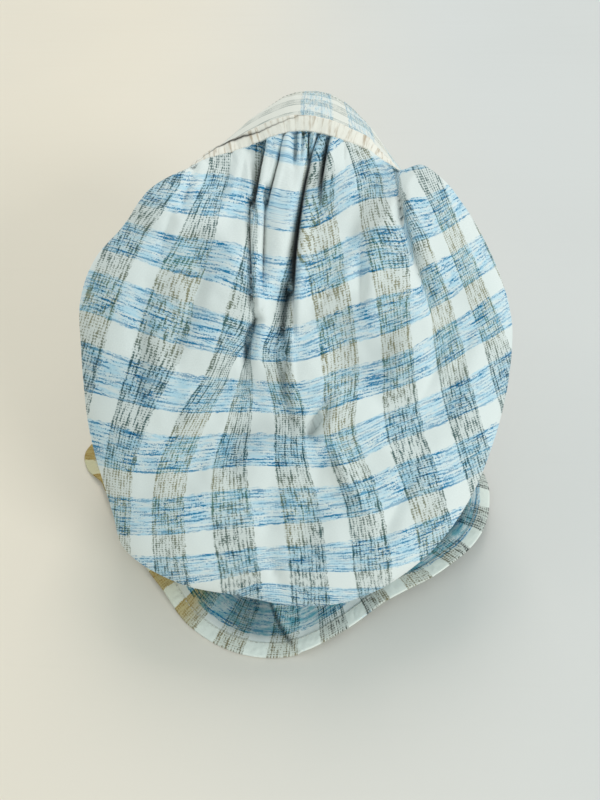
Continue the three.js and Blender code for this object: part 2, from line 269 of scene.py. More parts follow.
@dataclass(frozen=True)
class Bend:
    """A line on the rim plane's chart: a quadratic curve from start past bend to end, in mm."""

    start: tuple[float, float]
    bend: tuple[float, float]
    end: tuple[float, float]
    steps: int = 28

    def points(self) -> Array:
        """The curve's points: start*(1-t)^2 + bend*2t(1-t) + end*t^2."""
        share = np.linspace(0.0, 1.0, self.steps + 1)[:, None]
        start, bend, end = (np.array(place) for place in (self.start, self.bend, self.end))
        return start * (1 - share) ** 2 + bend * 2 * share * (1 - share) + end * share**2

    def nearest(self, across: Array, up: Array) -> tuple[Array, Array]:
        """Signed distance from the line and the share along it, at each chart place.

        Args:
            across: Chart coordinates across.
            up: Chart coordinates up.

        Returns:
            The distance in mm, positive on the chart's right of a line that runs down it,
            and the share.
        """
        points = self.points()
        best = np.full(across.shape, np.inf)
        signed, along = np.zeros(across.shape), np.zeros(across.shape)
        for index, (start, end) in enumerate(zip(points[:-1], points[1:])):
            run = end - start
            offset_x, offset_y = across - start[0], up - start[1]
            share = np.clip((offset_x * run[0] + offset_y * run[1]) / (run @ run), 0.0, 1.0)
            gap = np.hypot(offset_x - run[0] * share, offset_y - run[1] * share)
            side = np.sign(offset_y * run[0] - offset_x * run[1])
            closer = gap < best
            best = np.where(closer, gap, best)
            signed = np.where(closer, gap * side, signed)
            along = np.where(closer, (index + share) / self.steps, along)
        return signed, along


@dataclass(frozen=True)
class Crease:
    """A pleat or fold of the crown, which runs down the chart.

    Attributes:
        line: Where its bottom runs.
        depth: How far it sinks, in mm; less than 0 for a ridge.
        left: Spread on the chart's left of it, in mm, at its start.
        right: Spread on the chart's right of it, in mm.
        opening: Share of the depth at its start.
        hold: Share of its way after which it fades.
        lip: Height of the rolled edge on its right, in mm.
        sharp: Power of the section; 2 is round and 1 is a crisp V.
        left_end: Spread on the left at its end, in mm, or 0 for the same as at its start.
        lap: How far the cloth on its right folds over it, in mm.
        soft: Power of the section's left side at its end.
    """

    line: Bend
    depth: float
    left: float
    right: float
    opening: float = 1.0
    hold: float = 0.55
    lip: float = 0.0
    sharp: float = 1.5
    left_end: float = 0.0
    lap: float = 0.0
    soft: float = 1.4

    def near(self, across: Array, up: Array) -> Array:
        """Which chart places lie within the fold's reach."""
        reach = 4.0 * max(self.left, self.right, self.left_end, self.lap)
        points = self.line.points()
        low, high = points.min(0) - reach, points.max(0) + reach
        return (across > low[0]) & (across < high[0]) & (up > low[1]) & (up < high[1])

    def course(self, along: Array) -> Array:
        """The fold's share of its full depth on its way: it rises at the start, then fades."""
        start = lerp(self.opening, 1.0, smoothstep(along, 0.0, 0.35))
        return start * (1.0 - smoothstep(along, self.hold, 1.0))

    def sink(self, across: Array, up: Array) -> Array:
        """How deep the fold sinks at each chart place, in mm.

        The section is exp(-(distance/spread)^sharp), less a lip of exp(-((distance-2s)/s)^2)
        beside it. The left side's power turns to soft along the way.
        """
        near = self.near(across, up)
        sunk = np.zeros(across.shape)
        if not near.any():
            return sunk
        distance, along = self.line.nearest(across[near], up[near])
        left = lerp(self.left, self.left_end or self.left, along)
        spread = np.where(distance > 0, self.right, left)
        power = np.where(distance > 0, self.sharp, lerp(self.sharp, self.soft, along**0.5))
        section = np.exp(-((np.abs(distance) / spread) ** power))
        lip = np.exp(-(((distance - 2.0 * self.right) / self.right) ** 2))
        sunk[near] = (self.depth * section - self.lip * lip) * self.course(along)
        return sunk

    def slide(self, across: Array, up: Array) -> tuple[Array, Array]:
        """How far the cloth on the fold's right slides over it, across and up the chart, in mm.

        The slide is lap * exp(-((distance-r)/1.6r)^2) on the right side, square to the line.
        """
        moved = np.zeros((2, *across.shape))
        near = self.near(across, up)
        if self.lap and near.any():
            distance, along = self.line.nearest(across[near], up[near])
            start, end = self.line.points()[[0, -1]]
            run = (end - start) / np.linalg.norm(end - start)
            hump = np.exp(-(((distance - self.right) / (1.6 * self.right)) ** 2))
            amount = self.lap * hump * (distance > 0) * self.course(along)
            amount = amount * smoothstep(distance, 0.0, 0.6 * self.right)
            moved[0][near], moved[1][near] = run[1] * amount, -run[0] * amount
        return moved[0], moved[1]


@dataclass(frozen=True)
class HiddenCloth:
    """Cloth that a pleat takes out of sight, which the plaid steps over.

    Attributes:
        line: Where the pleat runs.
        stripes: Stripes that go out of sight.
        bands: Bands that the cloth slips along the pleat.
        width: Half the width of the step, in mm.
        fade: Share of the pleat's way after which the cloth comes back into sight.
        reach: Distance over which the jump dies out, in mm.
    """

    line: Bend
    stripes: float
    bands: float
    width: float = 0.7
    fade: float = 0.5
    reach: float = 14.0

    def step(self, across: Array, up: Array) -> Array:
        """A jump from -1/2 on the pleat's left to 1/2 on its right, dying out around it.

        It is tanh(distance/width)/2 times exp(-(distance/reach)^2), and fades along its way.
        """
        distance, along = self.line.nearest(across, up)
        jump = 0.5 * np.tanh(distance / self.width) * np.exp(-((distance / self.reach) ** 2))
        return jump * (1.0 - smoothstep(along, self.fade, 1.0))


@dataclass(frozen=True)
class PlaidChart:
    """The plaid's run over the crown, from charted middles of its stripes and bands.

    Attributes:
        stripes: Rows of a grey stripe's number and a place on its middle line, in mm.
        bands: Rows of a blue band's number and a place on its middle line, in mm.
        hidden: Pleats that the plaid steps over.
        slack: How far the smooth sheet may miss the rows.
    """

    stripes: Rows
    bands: Rows
    hidden: tuple[HiddenCloth, ...]
    slack: float = 0.02

    def read(self, across: Array, up: Array) -> Array:
        """Stripe and band coordinates at chart places: whole numbers on the middle lines.

        Each is a thin plate bent through the rows, r^2 log r about each row's place plus a
        plane, and the steps of the hidden cloth.

        Args:
            across: Chart coordinates across.
            up: Chart coordinates up.

        Returns:
            Pairs of stripe and band coordinates.
        """
        found = []
        for rows, amount in ((self.stripes, "stripes"), (self.bands, "bands")):
            table = np.array(rows, float)
            numbers, x, y = table[:, 0], table[:, 1], table[:, 2]
            known, wanted = np.zeros(len(numbers)), np.zeros(across.shape)
            for pleat in self.hidden:
                size = getattr(pleat, amount)
                known = known + size * pleat.step(x, y)
                wanted = wanted + size * pleat.step(across, up)
            plate = self._plate(x, y, numbers - known)
            found.append(plate(across, up) + wanted)
        return np.stack(found, -1)

    def _plate(self, x: Array, y: Array, values: Array) -> Callable[[Array, Array], Array]:
        """The thin plate through values at places x and y."""
        scale = 0.01

        def kernel(px: Array, py: Array) -> Array:
            """r^2 log r from each place to each row."""
            squared = (px[..., None] - x) ** 2 + (py[..., None] - y) ** 2
            squared = squared * scale**2
            return 0.5 * squared * np.log(np.maximum(squared, 1e-12))

        count = len(x)
        plane = np.stack([np.ones(count), x * scale, y * scale], -1)
        system = np.zeros((count + 3, count + 3))
        system[:count, :count] = kernel(x, y) + self.slack * np.eye(count)
        system[:count, count:] = plane
        system[count:, :count] = plane.T
        solved = np.linalg.solve(system, np.concatenate([values, np.zeros(3)]))

        def height(px: Array, py: Array) -> Array:
            """The plate's height at places px and py."""
            flat_x, flat_y = px.ravel(), py.ravel()
            bent = kernel(flat_x, flat_y) @ solved[:count]
            level = solved[count] + scale * (solved[count + 1] * flat_x + solved[count + 2] * flat_y)
            return (bent + level).reshape(px.shape)

        return height


def path_length(points: Array) -> Array:
    """Length along a line of points, from its first one."""
    return np.concatenate([[0.0], np.cumsum(np.linalg.norm(np.diff(points, axis=0), axis=-1))])


def surface_normals(points: Array, wraps: bool, pole: bool) -> Array:
    """Unit normals, from the steps to both neighbours along the rows and the columns.

    Args:
        points: Rows by columns of points.
        wraps: Whether the last column joins the first.
        pole: Whether the first row is a single point.

    Returns:
        The normals.
    """
    if wraps:
        around = np.roll(points, -1, 1) - np.roll(points, 1, 1)
    else:
        around = np.gradient(points, axis=1)
    normals = unit(np.cross(around, np.gradient(points, axis=0)))
    if pole:
        normals[0] = unit(normals[1].mean(0))
    return normals


@dataclass
class ClothGrid:
    """A cloth's middle surface and the plaid on it.

    Attributes:
        points: Rows by columns of points, in mm. All of a pole row's points are the same.
        plaid: Rows by columns of stripe and band coordinates. A wrapped grid has one more
            column of them, so that the plaid may end at another number than it starts.
        painted_shade: Rows by columns of painted shade, from 0 to 1, deepest down in pleats.
        wraps: Whether the last column joins the first.
        pole: Whether the first row is a single point.
    """

    points: Array
    plaid: Array
    painted_shade: Optional[Array] = None
    wraps: bool = False
    pole: bool = False

    def painted_shade_values(self) -> Array:
        """The painted shade, or all zeros where there is none."""
        return np.zeros(self.points.shape[:2]) if self.painted_shade is None else self.painted_shade

    def normals(self) -> Array:
        """Unit normals of the middle surface."""
        return surface_normals(self.points, self.wraps, self.pole)

    def top_line(self, row: int, cloth: float) -> tuple[Array, Array]:
        """A row's line on the upper face of the cloth, and the unit vectors out of that face."""
        faces = self.normals()[row]
        faces = faces * np.sign(faces[:, 2].sum())
        return self.points[row] + faces * cloth / 2, faces


def smooth_mesh(name: str, places: Array, faces: list[list[int]]) -> bpy.types.Mesh:
    """A smooth-shaded mesh of points in mm, moved from the pattern's frame to the row's."""
    mesh = bpy.data.meshes.new(name)
    mesh.from_pydata(((places + FOOTPRINT_SHIFT) * MM).tolist(), [], faces)
    mesh.polygons.foreach_set("use_smooth", np.ones(len(mesh.polygons), bool))
    return mesh


def add_object(name: str, data: bpy.types.ID) -> Object:
    """An object of a mesh, light or camera, in the scene."""
    made = bpy.data.objects.new(name, data)
    bpy.context.scene.collection.objects.link(made)
    return made


class ClothWall:
    """Builds the closed wall of a cloth about its middle surface."""

    def __init__(self, grid: ClothGrid, cloth: float, lining_step: int = 1) -> None:
        """Takes the cloth's grid, its thickness in mm, and how many rows a lining row spans."""
        self.grid = grid
        self.cloth = cloth
        self.lining_step = lining_step

    def build(self, name: str) -> Object:
        """The wall as an object at the origin, in the row's frame.

        The outer sheet is the middle surface plus half the cloth along its normals and the
        inner sheet is minus half, on every lining_step-th row. A rounded edge joins them.

        Args:
            name: Name of the object.

        Returns:
            The object, with a UV map of stripe and band coordinates.
        """
        grid, points, normals = self.grid, self.grid.points, self.grid.normals()
        if not self._look_out(points, normals):
            normals = -normals
        kept = np.unique(np.append(np.arange(0, len(points), self.lining_step), len(points) - 1))
        half = normals * self.cloth / 2
        room = normals[kept] * self._sag(kept, normals)[..., None]
        inner, inner_plaid = (points - half)[kept] - room, grid.plaid[kept]
        lip = points[-1] + unit(points[-1] - points[-2]) * self.cloth / 2
        sheets = [points + half, lip[None], inner[::-1]]
        charts = [grid.plaid, grid.plaid[-1:], inner_plaid[::-1]]
        painted_shade_values = grid.painted_shade_values()
        painted_shade_rows = [painted_shade_values, painted_shade_values[-1:], painted_shade_values[kept][::-1]]
        if not grid.pole:
            front = points[0] + unit(points[0] - points[1]) * self.cloth / 2
            sheets.append(front[None])
            charts.append(grid.plaid[:1])
            painted_shade_rows.append(painted_shade_values[:1])
        ring, chart = np.concatenate(sheets), np.concatenate(charts)
        piece = self._object(name, ring, chart, closes=not grid.pole)
        # Painted shade of each point, which the materials multiply into the cloth's colour.
        layer = piece.data.attributes.new("painted_shade", "FLOAT", "POINT")
        layer.data.foreach_set("value", np.concatenate(painted_shade_rows).ravel().astype(np.float32))
        if grid.pole:
            weld_poles(piece)
        return piece

    def _sag(self, kept: Array, normals: Array) -> Array:
        """How far the cloth sinks below the straight lining between its rows, for each of them.

        Between two lining rows the sag is the largest (chord - cloth) . normal, and a lining
        row takes the larger sag of its two sides. The edges keep their place.

        Args:
            kept: The grid's rows that the lining keeps.
            normals: Outward unit normals of the grid.

        Returns:
            The sag in mm, lining rows by columns.
        """
        points = self.grid.points
        sag = np.zeros((len(kept), points.shape[1]))
        for order, (low, high) in enumerate(zip(kept[:-1], kept[1:])):
            share = np.linspace(0.0, 1.0, high - low + 1)[:, None, None]
            chord = lerp(points[low], points[high], share)
            between = slice(low, high + 1)
            sunk = ((chord - points[between]) * normals[between]).sum(-1).max(0)
            sag[order : order + 2] = np.maximum(sag[order : order + 2], sunk)
        sag[[0, -1]] = 0.0
        return sag

    @staticmethod
    def _look_out(points: Array, normals: Array) -> bool:
        """Whether the normals, taken together, point away from the middle of the points."""
        middle = points.reshape(-1, 3).mean(0)
        return float(((points - middle) * normals).sum(-1).mean()) > 0

    def _object(self, name: str, ring: Array, chart: Array, closes: bool) -> Object:
        """Joins the ring of sheets into one closed mesh.

        Args:
            name: Name of the object.
            ring: Rows of points that go down the outer sheet and back up the inner one.
            chart: Plaid coordinates of each row.
            closes: Whether the last row joins the first, which two poles don't.

        Returns:
            The object.
        """
        grid = self.grid
        rows, columns = ring.shape[:2]
        spans = columns if grid.wraps else columns - 1
        index = np.arange(rows * columns).reshape(rows, columns)
        chart_index = np.arange(rows * chart.shape[1]).reshape(rows, -1)
        top = np.arange(rows if closes else rows - 1)
        under = (top + 1) % rows
        left = np.arange(spans)

        def quads(numbers: Array, right: Array) -> Array:
            """Numbers of the four corners between each row and the one under it."""
            corners = ((top, left), (top, right), (under, right), (under, left))
            return np.stack([numbers[np.ix_(*corner)] for corner in corners], -1).reshape(-1, 4)

        faces, uvs = quads(index, (left + 1) % columns), quads(chart_index, left + 1)
        places = ring.reshape(-1, 3).copy()
        places[:, 2] = np.maximum(places[:, 2], FLOOR_GAP)
        return self._finish(name, places, faces, chart.reshape(-1, 2)[uvs], index)

    def _finish(
        self, name: str, places: Array, faces: Array, corner_plaid: Array, index: Array
    ) -> Object:
        """Writes the mesh, its UV map and its end caps, and turns its faces outwards.

        Args:
            name: Name of the object.
            places: The mesh's points, in mm.
            faces: The quads of the ring of sheets.
            corner_plaid: Plaid coordinates of the quads' corners.
            index: Point numbers of the ring, rows by columns.

        Returns:
            The object.
        """
        strips = np.zeros((0, 4), int) if self.grid.wraps else self._end_strips(index)
        all_faces = np.concatenate([faces, strips])
        point_plaid = np.zeros((len(places), 2))
        point_plaid[faces.ravel()] = corner_plaid.reshape(-1, 2)
        plaid = np.concatenate([corner_plaid, point_plaid[strips]])
        if self._volume(places, all_faces) < 0:
            all_faces, plaid = all_faces[:, ::-1], plaid[:, ::-1]
        mesh = smooth_mesh(name, places, all_faces.tolist())
        uv = mesh.uv_layers.new(name="plaid")
        uv.data.foreach_set("uv", plaid.reshape(-1).astype(np.float32))
        mesh.update()
        return add_object(name, mesh)

    def _end_strips(self, index: Array) -> Array:
        """Quads that close the two open ends of an unwrapped ring, row by row from both sides."""
        rows = index.shape[0]
        low = np.arange((rows - 1) // 2)
        high = rows - 1 - low
        quads = []
        for column, turned in ((0, False), (index.shape[1] - 1, True)):
            strip = np.stack([index[row, column] for row in (low, low + 1, high - 1, high)], -1)
            quads.append(strip[:, ::-1] if turned else strip)
        return np.concatenate(quads)

    @staticmethod
    def _volume(places: Array, faces: Array) -> float:
        """Six times the signed volume within the faces, as the sum of a . (b x c)."""
        first, second, third, fourth = (places[faces[:, corner]] for corner in range(4))
        one = np.einsum("ij,ij->i", first, np.cross(second, third)).sum()
        two = np.einsum("ij,ij->i", first, np.cross(third, fourth)).sum()
        return float(one + two)


def weld_poles(piece: Object) -> None:
    """Merges the repeated points of a mesh's poles and drops the faces that this flattens."""
    work = bmesh.new()
    work.from_mesh(piece.data)
    bmesh.ops.remove_doubles(work, verts=work.verts, dist=1e-6)
    bmesh.ops.dissolve_degenerate(work, edges=work.edges, dist=1e-7)
    work.to_mesh(piece.data)
    work.free()


@dataclass
class Seam:
    """The line on which the crown is sewn to its band."""

    places: TurnTable
    stands: TurnTable
    gap: float = 0.3

    def frame(self, turn: Array) -> tuple[Array, Array, Array, Array]:
        """The seam's place, its run, the band's stand off it and the band's outer face.

        Args:
            turn: Turns in degrees.

        Returns:
            Place, and the unit vectors run, stand (square to run) and face = stand x run.
        """
        step = 0.5
        place = self.places.place(turn)
        run = unit(self.places.place(turn + step) - self.places.place(turn - step))
        stand = self.stands.place(turn)
        stand = unit(stand - (stand * run).sum(-1, keepdims=True) * run)
        return place, run, stand, unit(np.cross(stand, run))

    def clearance(self, arriving: Array, leaving: Array, cloth: float) -> Array:
        """How far two cloth edges stay from the line where they meet at an angle.

        The half angle h between them gives (gap/2 + cloth/2*sin h)/cos h.
        """
        half = np.arccos(np.clip((arriving * leaving).sum(-1), -1.0, 1.0)) / 2
        return (self.gap / 2 + cloth / 2 * np.sin(half)) / np.cos(half)

    def length(self, turn: Array) -> Array:
        """Length of the seam from the first turn, by the chords between its places."""
        return path_length(self.places.place(turn))


def sector_turns(sectors: Rows) -> Array:
    """Turns of a wrapped grid's columns: rows of first turn, last turn and column count."""
    parts = [np.linspace(low, high, int(count), endpoint=False) for low, high, count in sectors]
    return np.concatenate(parts)


@dataclass
class Crown:
    """The puffed bag of plaid cloth, gathered at its seam.

    Attributes:
        outline: Reach of the rim from the middle, by the turn.
        overhang: By the turn, how far the rim hangs over the seam and how far it puffs, 0 to 1.
        sectors: Rows of first turn, last turn and column count.
        top_lift: Height of the cloth over the rim's plane at its middle, in mm.
        rim_share: Share of a column's rows that lie before an overhanging rim.
        cad_cloth: The thicker cloth of the two solids that meet at the seam, in mm.
        gather_rise: Distances from the seam between which the gathers rise, in mm.
        gather_under: Shares of the way in under the rim between which they come back.
        fold_loss: Least share of the folds and wrinkles that is lost at the rim.
        fold_fade: Power of the way out by which both fade; the wrinkles have one of their own.
        shade_from: Depth at which painted shade starts in a fold, in mm; at shade_full it is darkest.
        dip_shade: Painted shade in a wrinkle's dip, for each mm.
        edge_steps: Share of the way back at which the arrival is taken, open and overhanging.
    """

    plane: RimPlane
    seam: Seam
    outline: TurnTable
    overhang: TurnTable
    creases: tuple[Crease, ...]
    plaid: PlaidChart
    sectors: Rows = ((-10, 36, 44), (36, 62, 84), (62, 122, 170), (122, 150, 84), (150, 350, 150))
    rows_down: int = 160
    middle: tuple[float, float] = (-2.5, 31.0)
    top_lift: float = 38.0
    slope_fall: float = 2.1
    dome_round: float = 0.9
    under_round: float = 1.3
    rim_share: float = 0.78
    cloth: float = 0.9
    cad_cloth: float = 1.8
    lining_step: int = 8
    gather_lengths: tuple[float, ...] = (3.4, 5.6, 10.0)
    gather_heights: tuple[float, ...] = (0.75, 0.9, 1.1)
    gather_stretch: float = 7.0
    gather_reach: float = 4.2
    gather_rise: Span = (0.4, 2.5)
    gather_under: Span = (0.5, 0.9)
    gather_from: float = 0.2
    wrinkle_lengths: tuple[float, ...] = (46.0, 21.0, 9.0)
    wrinkle_heights: tuple[float, ...] = (2.7, 1.7, 0.55)
    wrinkle_stretch: float = 1.35
    wrinkle_fade: int = 6
    fold_loss: float = 0.6
    fold_fade: int = 8
    edge_steps: Span = (0.03, 0.06)
    edge_rise: float = 0.06
    edge_fall: float = 0.995
    shade_from: float = 3.0
    shade_full: float = 17.0
    dip_shade: float = 0.075

    def rim(self, turn: Array) -> tuple[Array, Array, Array]:
        """The outline's chart coordinates, and how far it hangs over the seam, 0 to 1."""
        reach, angle = self.outline.read("reach", turn), np.radians(turn)
        rim_x, rim_y = self.middle[0] + reach * np.cos(angle), self.middle[1] + reach * np.sin(angle)
        return rim_x, rim_y, np.clip(self.overhang.read("share", turn), 0, 1)

    def fold_depth(self, across: Array, up: Array) -> Array:
        """How deep the pleats and folds sink at each chart place, in mm."""
        return sum((crease.sink(across, up) for crease in self.creases), np.zeros(across.shape))

    def wrinkles(self, across: Array, up: Array) -> Array:
        """Slack cotton's shallow bumps: three sizes of soft noise, longer down the crown."""
        bumps = np.zeros(across.shape)
        for order, (length, height) in enumerate(zip(self.wrinkle_lengths, self.wrinkle_heights)):
            along = up / (self.wrinkle_stretch * length)
            bumps += height * soft_noise(across / length, along, Seed.WRINKLES + order)
        return bumps

    def gathers(self, turn: Array, distance: Array) -> Array:
        """Ripples off the seam, in mm: noise along it, the longer ones reaching further."""
        fine = np.linspace(FIRST_TURN, LAST_TURN, 4 * int(FULL_TURN) + 1)
        run = np.interp(turn, fine, self.seam.length(fine))
        ripples = np.zeros(np.broadcast(turn, distance).shape)
        for order, (length, height) in enumerate(zip(self.gather_lengths, self.gather_heights)):
            along = distance / (self.gather_stretch * length)
            crests = soft_noise(run / length, along, Seed.GATHERS + order)
            ripples = ripples + height * crests * np.exp(-distance / (self.gather_reach * length))
        return ripples

    def grid(self) -> ClothGrid:
        """The crown's middle surface.

        A column runs from the middle, out to the rim and back in under it to the seam. On the
        way out the place on the chart is the share t of the way, or sin(90t)^0.9 where the
        crown puffs, and the lift falls from the top by 1 - t^2.1, or cos(90t)^0.9. On the way
        in, the place and lift swing to the seam by 1 - cos^1.3 and sin^1.3. The painted shade
        is an S-shaped rise over the folds' depth, plus a little in the wrinkles' dips.

        Returns:
            The grid, with the plaid continued round the rim by the cloth's own length.
        """
        turn = sector_turns(self.sectors)
        along = np.linspace(0.0, 1.0, self.rows_down + 1)[:, None]
        outline_x, outline_y, overhang = self.rim(turn)
        puff = np.clip(self.overhang.read("puff", turn), 0, 1)
        seam_place, _, stand, _ = self.seam.frame(turn)
        seam_x, seam_y, seam_lift = self.plane.chart(seam_place)
        rim_x, rim_y = lerp(seam_x, outline_x, overhang), lerp(seam_y, outline_y, overhang)
        rim_lift = lerp(seam_lift, 0.0, overhang)
        rim_share = lerp(1.0, self.rim_share, overhang)

        share = np.clip(along / rim_share, 0.0, 1.0)
        swing = share * math.pi / 2
        out = lerp(share, np.sin(swing) ** self.dome_round, puff)
        slope, dome = 1 - share**self.slope_fall, np.cos(swing).clip(0) ** self.dome_round
        across = lerp(self.middle[0], rim_x, out)
        up = lerp(self.middle[1], rim_y, out)
        fading = 1 - np.maximum(overhang, self.fold_loss) * out**self.fold_fade
        lift = lerp(rim_lift, self.top_lift, lerp(slope, dome, puff))
        folds = self.fold_depth(across, up)
        relief = self.wrinkles(across, up) * (1 - out**self.wrinkle_fade)
        lift = lift + (relief - folds) * fading
        slides = [crease.slide(across, up) for crease in self.creases]
        over_x = sum((slide[0] for slide in slides), np.zeros(across.shape)) * fading
        over_y = sum((slide[1] for slide in slides), np.zeros(across.shape)) * fading
        visible = self.plane.lifted(across + over_x, up + over_y, lift)

        under = np.clip((along - rim_share) / np.maximum(1 - rim_share, 1e-6), 0.0, 1.0)
        swing = under * math.pi / 2
        inward = 1 - np.cos(swing).clip(0) ** self.under_round
        back = np.sin(swing) ** self.under_round
        tucked = self.plane.lifted(
            lerp(rim_x, seam_x, inward), lerp(rim_y, seam_y, inward), lerp(rim_lift, seam_lift, back)
        )
        hidden = (under > 0) & (overhang > 1e-3)
        points = np.where(hidden[..., None], tucked, visible)
        arriving = unit(seam_place - points[-2])
        clear = self.seam.clearance(arriving, stand, self.cad_cloth)
        points[-1] = seam_place - arriving * clear[:, None]

        room = np.where(hidden, smoothstep(under, *self.gather_under), 1.0)
        points = self._gathered(points, turn, seam_place, room * (along > self.gather_from))
        plaid = self._plaid(points, across, up, hidden, rim_x, rim_y)
        # Painted shade: darker deep in the folds, and a little in the wrinkles' dips.
        dips = self.dip_shade * (-relief).clip(0)
        painted_shade = smoothstep(folds * fading, self.shade_from, self.shade_full) + dips
        painted_shade = np.where(hidden, 0.0, painted_shade.clip(0, 1))
        return ClothGrid(points, plaid, painted_shade, wraps=True, pole=True)

    def _gathered(self, points: Array, turn: Array, seam_place: Array, room: Array) -> Array:
        """The points moved along their normals by the gathers.

        Args:
            points: The grid's points.
            turn: Turns of the columns.
            seam_place: The seam's places, one for each column.
            room: Share of the gathers' height that each point has room for.

        Returns:
            The moved points, with the first row at one place.
        """
        from_seam = np.linalg.norm(points - seam_place, axis=-1)
        ripple = self.gathers(np.broadcast_to(turn, from_seam.shape), from_seam)
        normals = surface_normals(points, wraps=True, pole=True)
        near_seam = slice(-20, -2)
        outward = np.sign((normals[near_seam] * self.plane.axes()[2]).sum())
        ripple = ripple * room * smoothstep(from_seam, *self.gather_rise) * outward
        points = points + normals * ripple[..., None]
        points[0] = points[0].mean(0)
        return points

    def _plaid(
        self, points: Array, across: Array, up: Array, hidden: Array, rim_x: Array, rim_y: Array
    ) -> Array:
        """Stripe and band coordinates, charted where seen and paid out by length beyond the rim.

        Args:
            points: The grid's points.
            across: Chart coordinates across of the visible part.
            up: Chart coordinates up of the visible part.
            hidden: Which points lie beyond the rim.
            rim_x: Chart coordinates across of the rim.
            rim_y: Chart coordinates up of the rim.

        Returns:
            The coordinates, with the first column repeated after the last.
        """
        seen = self.plaid.read(across, up)
        step = 3.0
        rim = self.plaid.read(rim_x, rim_y)
        slope_x = self.plaid.read(rim_x + step, rim_y) - rim
        slope_y = self.plaid.read(rim_x, rim_y + step) - rim
        out = unit(np.stack([rim_x - self.middle[0], rim_y - self.middle[1]], -1))
        rate = out[:, :1] * slope_x + out[:, 1:] * slope_y
        steep = np.sqrt(slope_x**2 + slope_y**2) + 1e-9
        lengths = np.linalg.norm(np.diff(points, axis=0), axis=-1)
        lengths = np.concatenate([np.zeros((1, lengths.shape[1])), np.cumsum(lengths, 0)])
        first = np.argmax(hidden, axis=0)
        start = np.where(hidden.any(0), lengths[np.maximum(first - 1, 0), np.arange(len(first))], 0)
        beyond = (lengths - start)[..., None] * (rate / steep) / PLAID_PERIOD
        plaid = np.where(hidden[..., None], rim + beyond, seen)
        return np.concatenate([plaid, plaid[:, :1]], 1)

    def build(self) -> Object:
        """The crown's object."""
        return ClothWall(self.grid(), self.cloth, self.lining_step).build("crown_cloth")

    def edge(self, turn: Array) -> Array:
        """The way that the cloth arrives at the seam, as unit vectors."""
        seam_place = self.seam.places.place(turn)
        seam_x, seam_y, seam_lift = self.plane.chart(seam_place)
        outline_x, outline_y, overhang = self.rim(turn)
        inner_x = lerp(self.middle[0], outline_x, overhang)
        inner_y = lerp(self.middle[1], outline_y, overhang)
        nearer = lerp(*self.edge_steps, overhang)
        open_lift = lerp(seam_lift, self.top_lift, self.edge_rise)
        lift = lerp(open_lift, seam_lift * self.edge_fall, overhang)
        before = self.plane.lifted(
            lerp(seam_x, inner_x, nearer), lerp(seam_y, inner_y, nearer), lift
        )
        return unit(seam_place - before)


@dataclass
class GatheringBand:
    """The narrow cream strip that the crown's gathers are sewn into."""

    seam: Seam
    crown: Crown
    width: float = 9.0
    cloth: float = 1.4
    cad_cloth: float = 1.8
    columns: int = 900
    rows_down: int = 24
    pucker_lengths: tuple[float, ...] = (2.6, 5.0, 9.0)
    pucker_heights: tuple[float, ...] = (0.45, 0.55, 0.5)
    pucker_stretch: float = 4.0
    pucker_left: float = 0.6
    gap_depth: float = 0.5
    gap_waver: float = 0.05
    gap_waver_turn: float = 1.3
    # By the turn: the painted shadow line's share of the band's width, its width, and how dark it is.
    gap_shadow_line: TurnTable = TurnTable(
        ("turn", "share", "width", "dark"),
        (
            (86, 1.0, 0.04, 0), (89, 0.98, 0.05, 0.6), (92, 0.80, 0.05, 0.9), (96, 0.66, 0.07, 0.9),
            (100, 0.64, 0.09, 1), (104, 0.86, 0.15, 1), (108, 0.93, 0.14, 1), (112, 0.82, 0.09, 0.9),
            (116, 0.6, 0.08, 0.6), (120, 0.5, 0.08, 0),
        ),
    )

    def grid(self) -> ClothGrid:
        """The band's middle surface: the seam plus the stand, with puckers on its face."""
        turn = np.linspace(FIRST_TURN, LAST_TURN, self.columns, endpoint=False)
        place, _, stand, face = self.seam.frame(turn)
        arriving = self.crown.edge(turn)
        clear = self.seam.clearance(arriving, stand, self.cad_cloth)
        share = np.linspace(0.0, 1.0, self.rows_down + 1)[:, None]
        off = lerp(clear, self.width, share)
        run = self.seam.length(np.append(turn, LAST_TURN))
        puckers = np.zeros(off.shape)
        for order, (length, height) in enumerate(zip(self.pucker_lengths, self.pucker_heights)):
            down = off / (self.pucker_stretch * length)
            puckers += height * soft_noise(run[:-1] / length, down, Seed.GATHERS + order)
        puckers *= lerp(1.0, self.pucker_left, share)
        # The gap is a painted shadow line, which also sinks the band's face by gap_depth.
        gap = self.gap(turn, share)
        raised = puckers - self.gap_depth * gap
        points = place + off[..., None] * stand + raised[..., None] * face
        stripes = np.broadcast_to(run / PLAID_PERIOD, (self.rows_down + 1, len(run)))
        bands = np.broadcast_to(share * self.width / PLAID_PERIOD, stripes.shape)
        return ClothGrid(points, np.stack([stripes, bands], -1), gap, wraps=True)

    def gap(self, turn: Array, share: Array) -> Array:
        """Painted shadow of the gap under the brim, which also sinks the band: dark times
        exp(-((share-line)/width)^2).
        """
        line, width, dark = (self.gap_shadow_line.read(name, turn) for name in self.gap_shadow_line.columns[1:])
        wavy = line + self.gap_waver * soft_noise(turn / self.gap_waver_turn, np.zeros(1), Seed.GAP)
        return dark.clip(0, 1) * np.exp(-(((share - wavy) / width) ** 2))

    def build(self) -> Object:
        """The band's object."""
        return ClothWall(self.grid(), self.cloth).build("gathering_band_cloth")


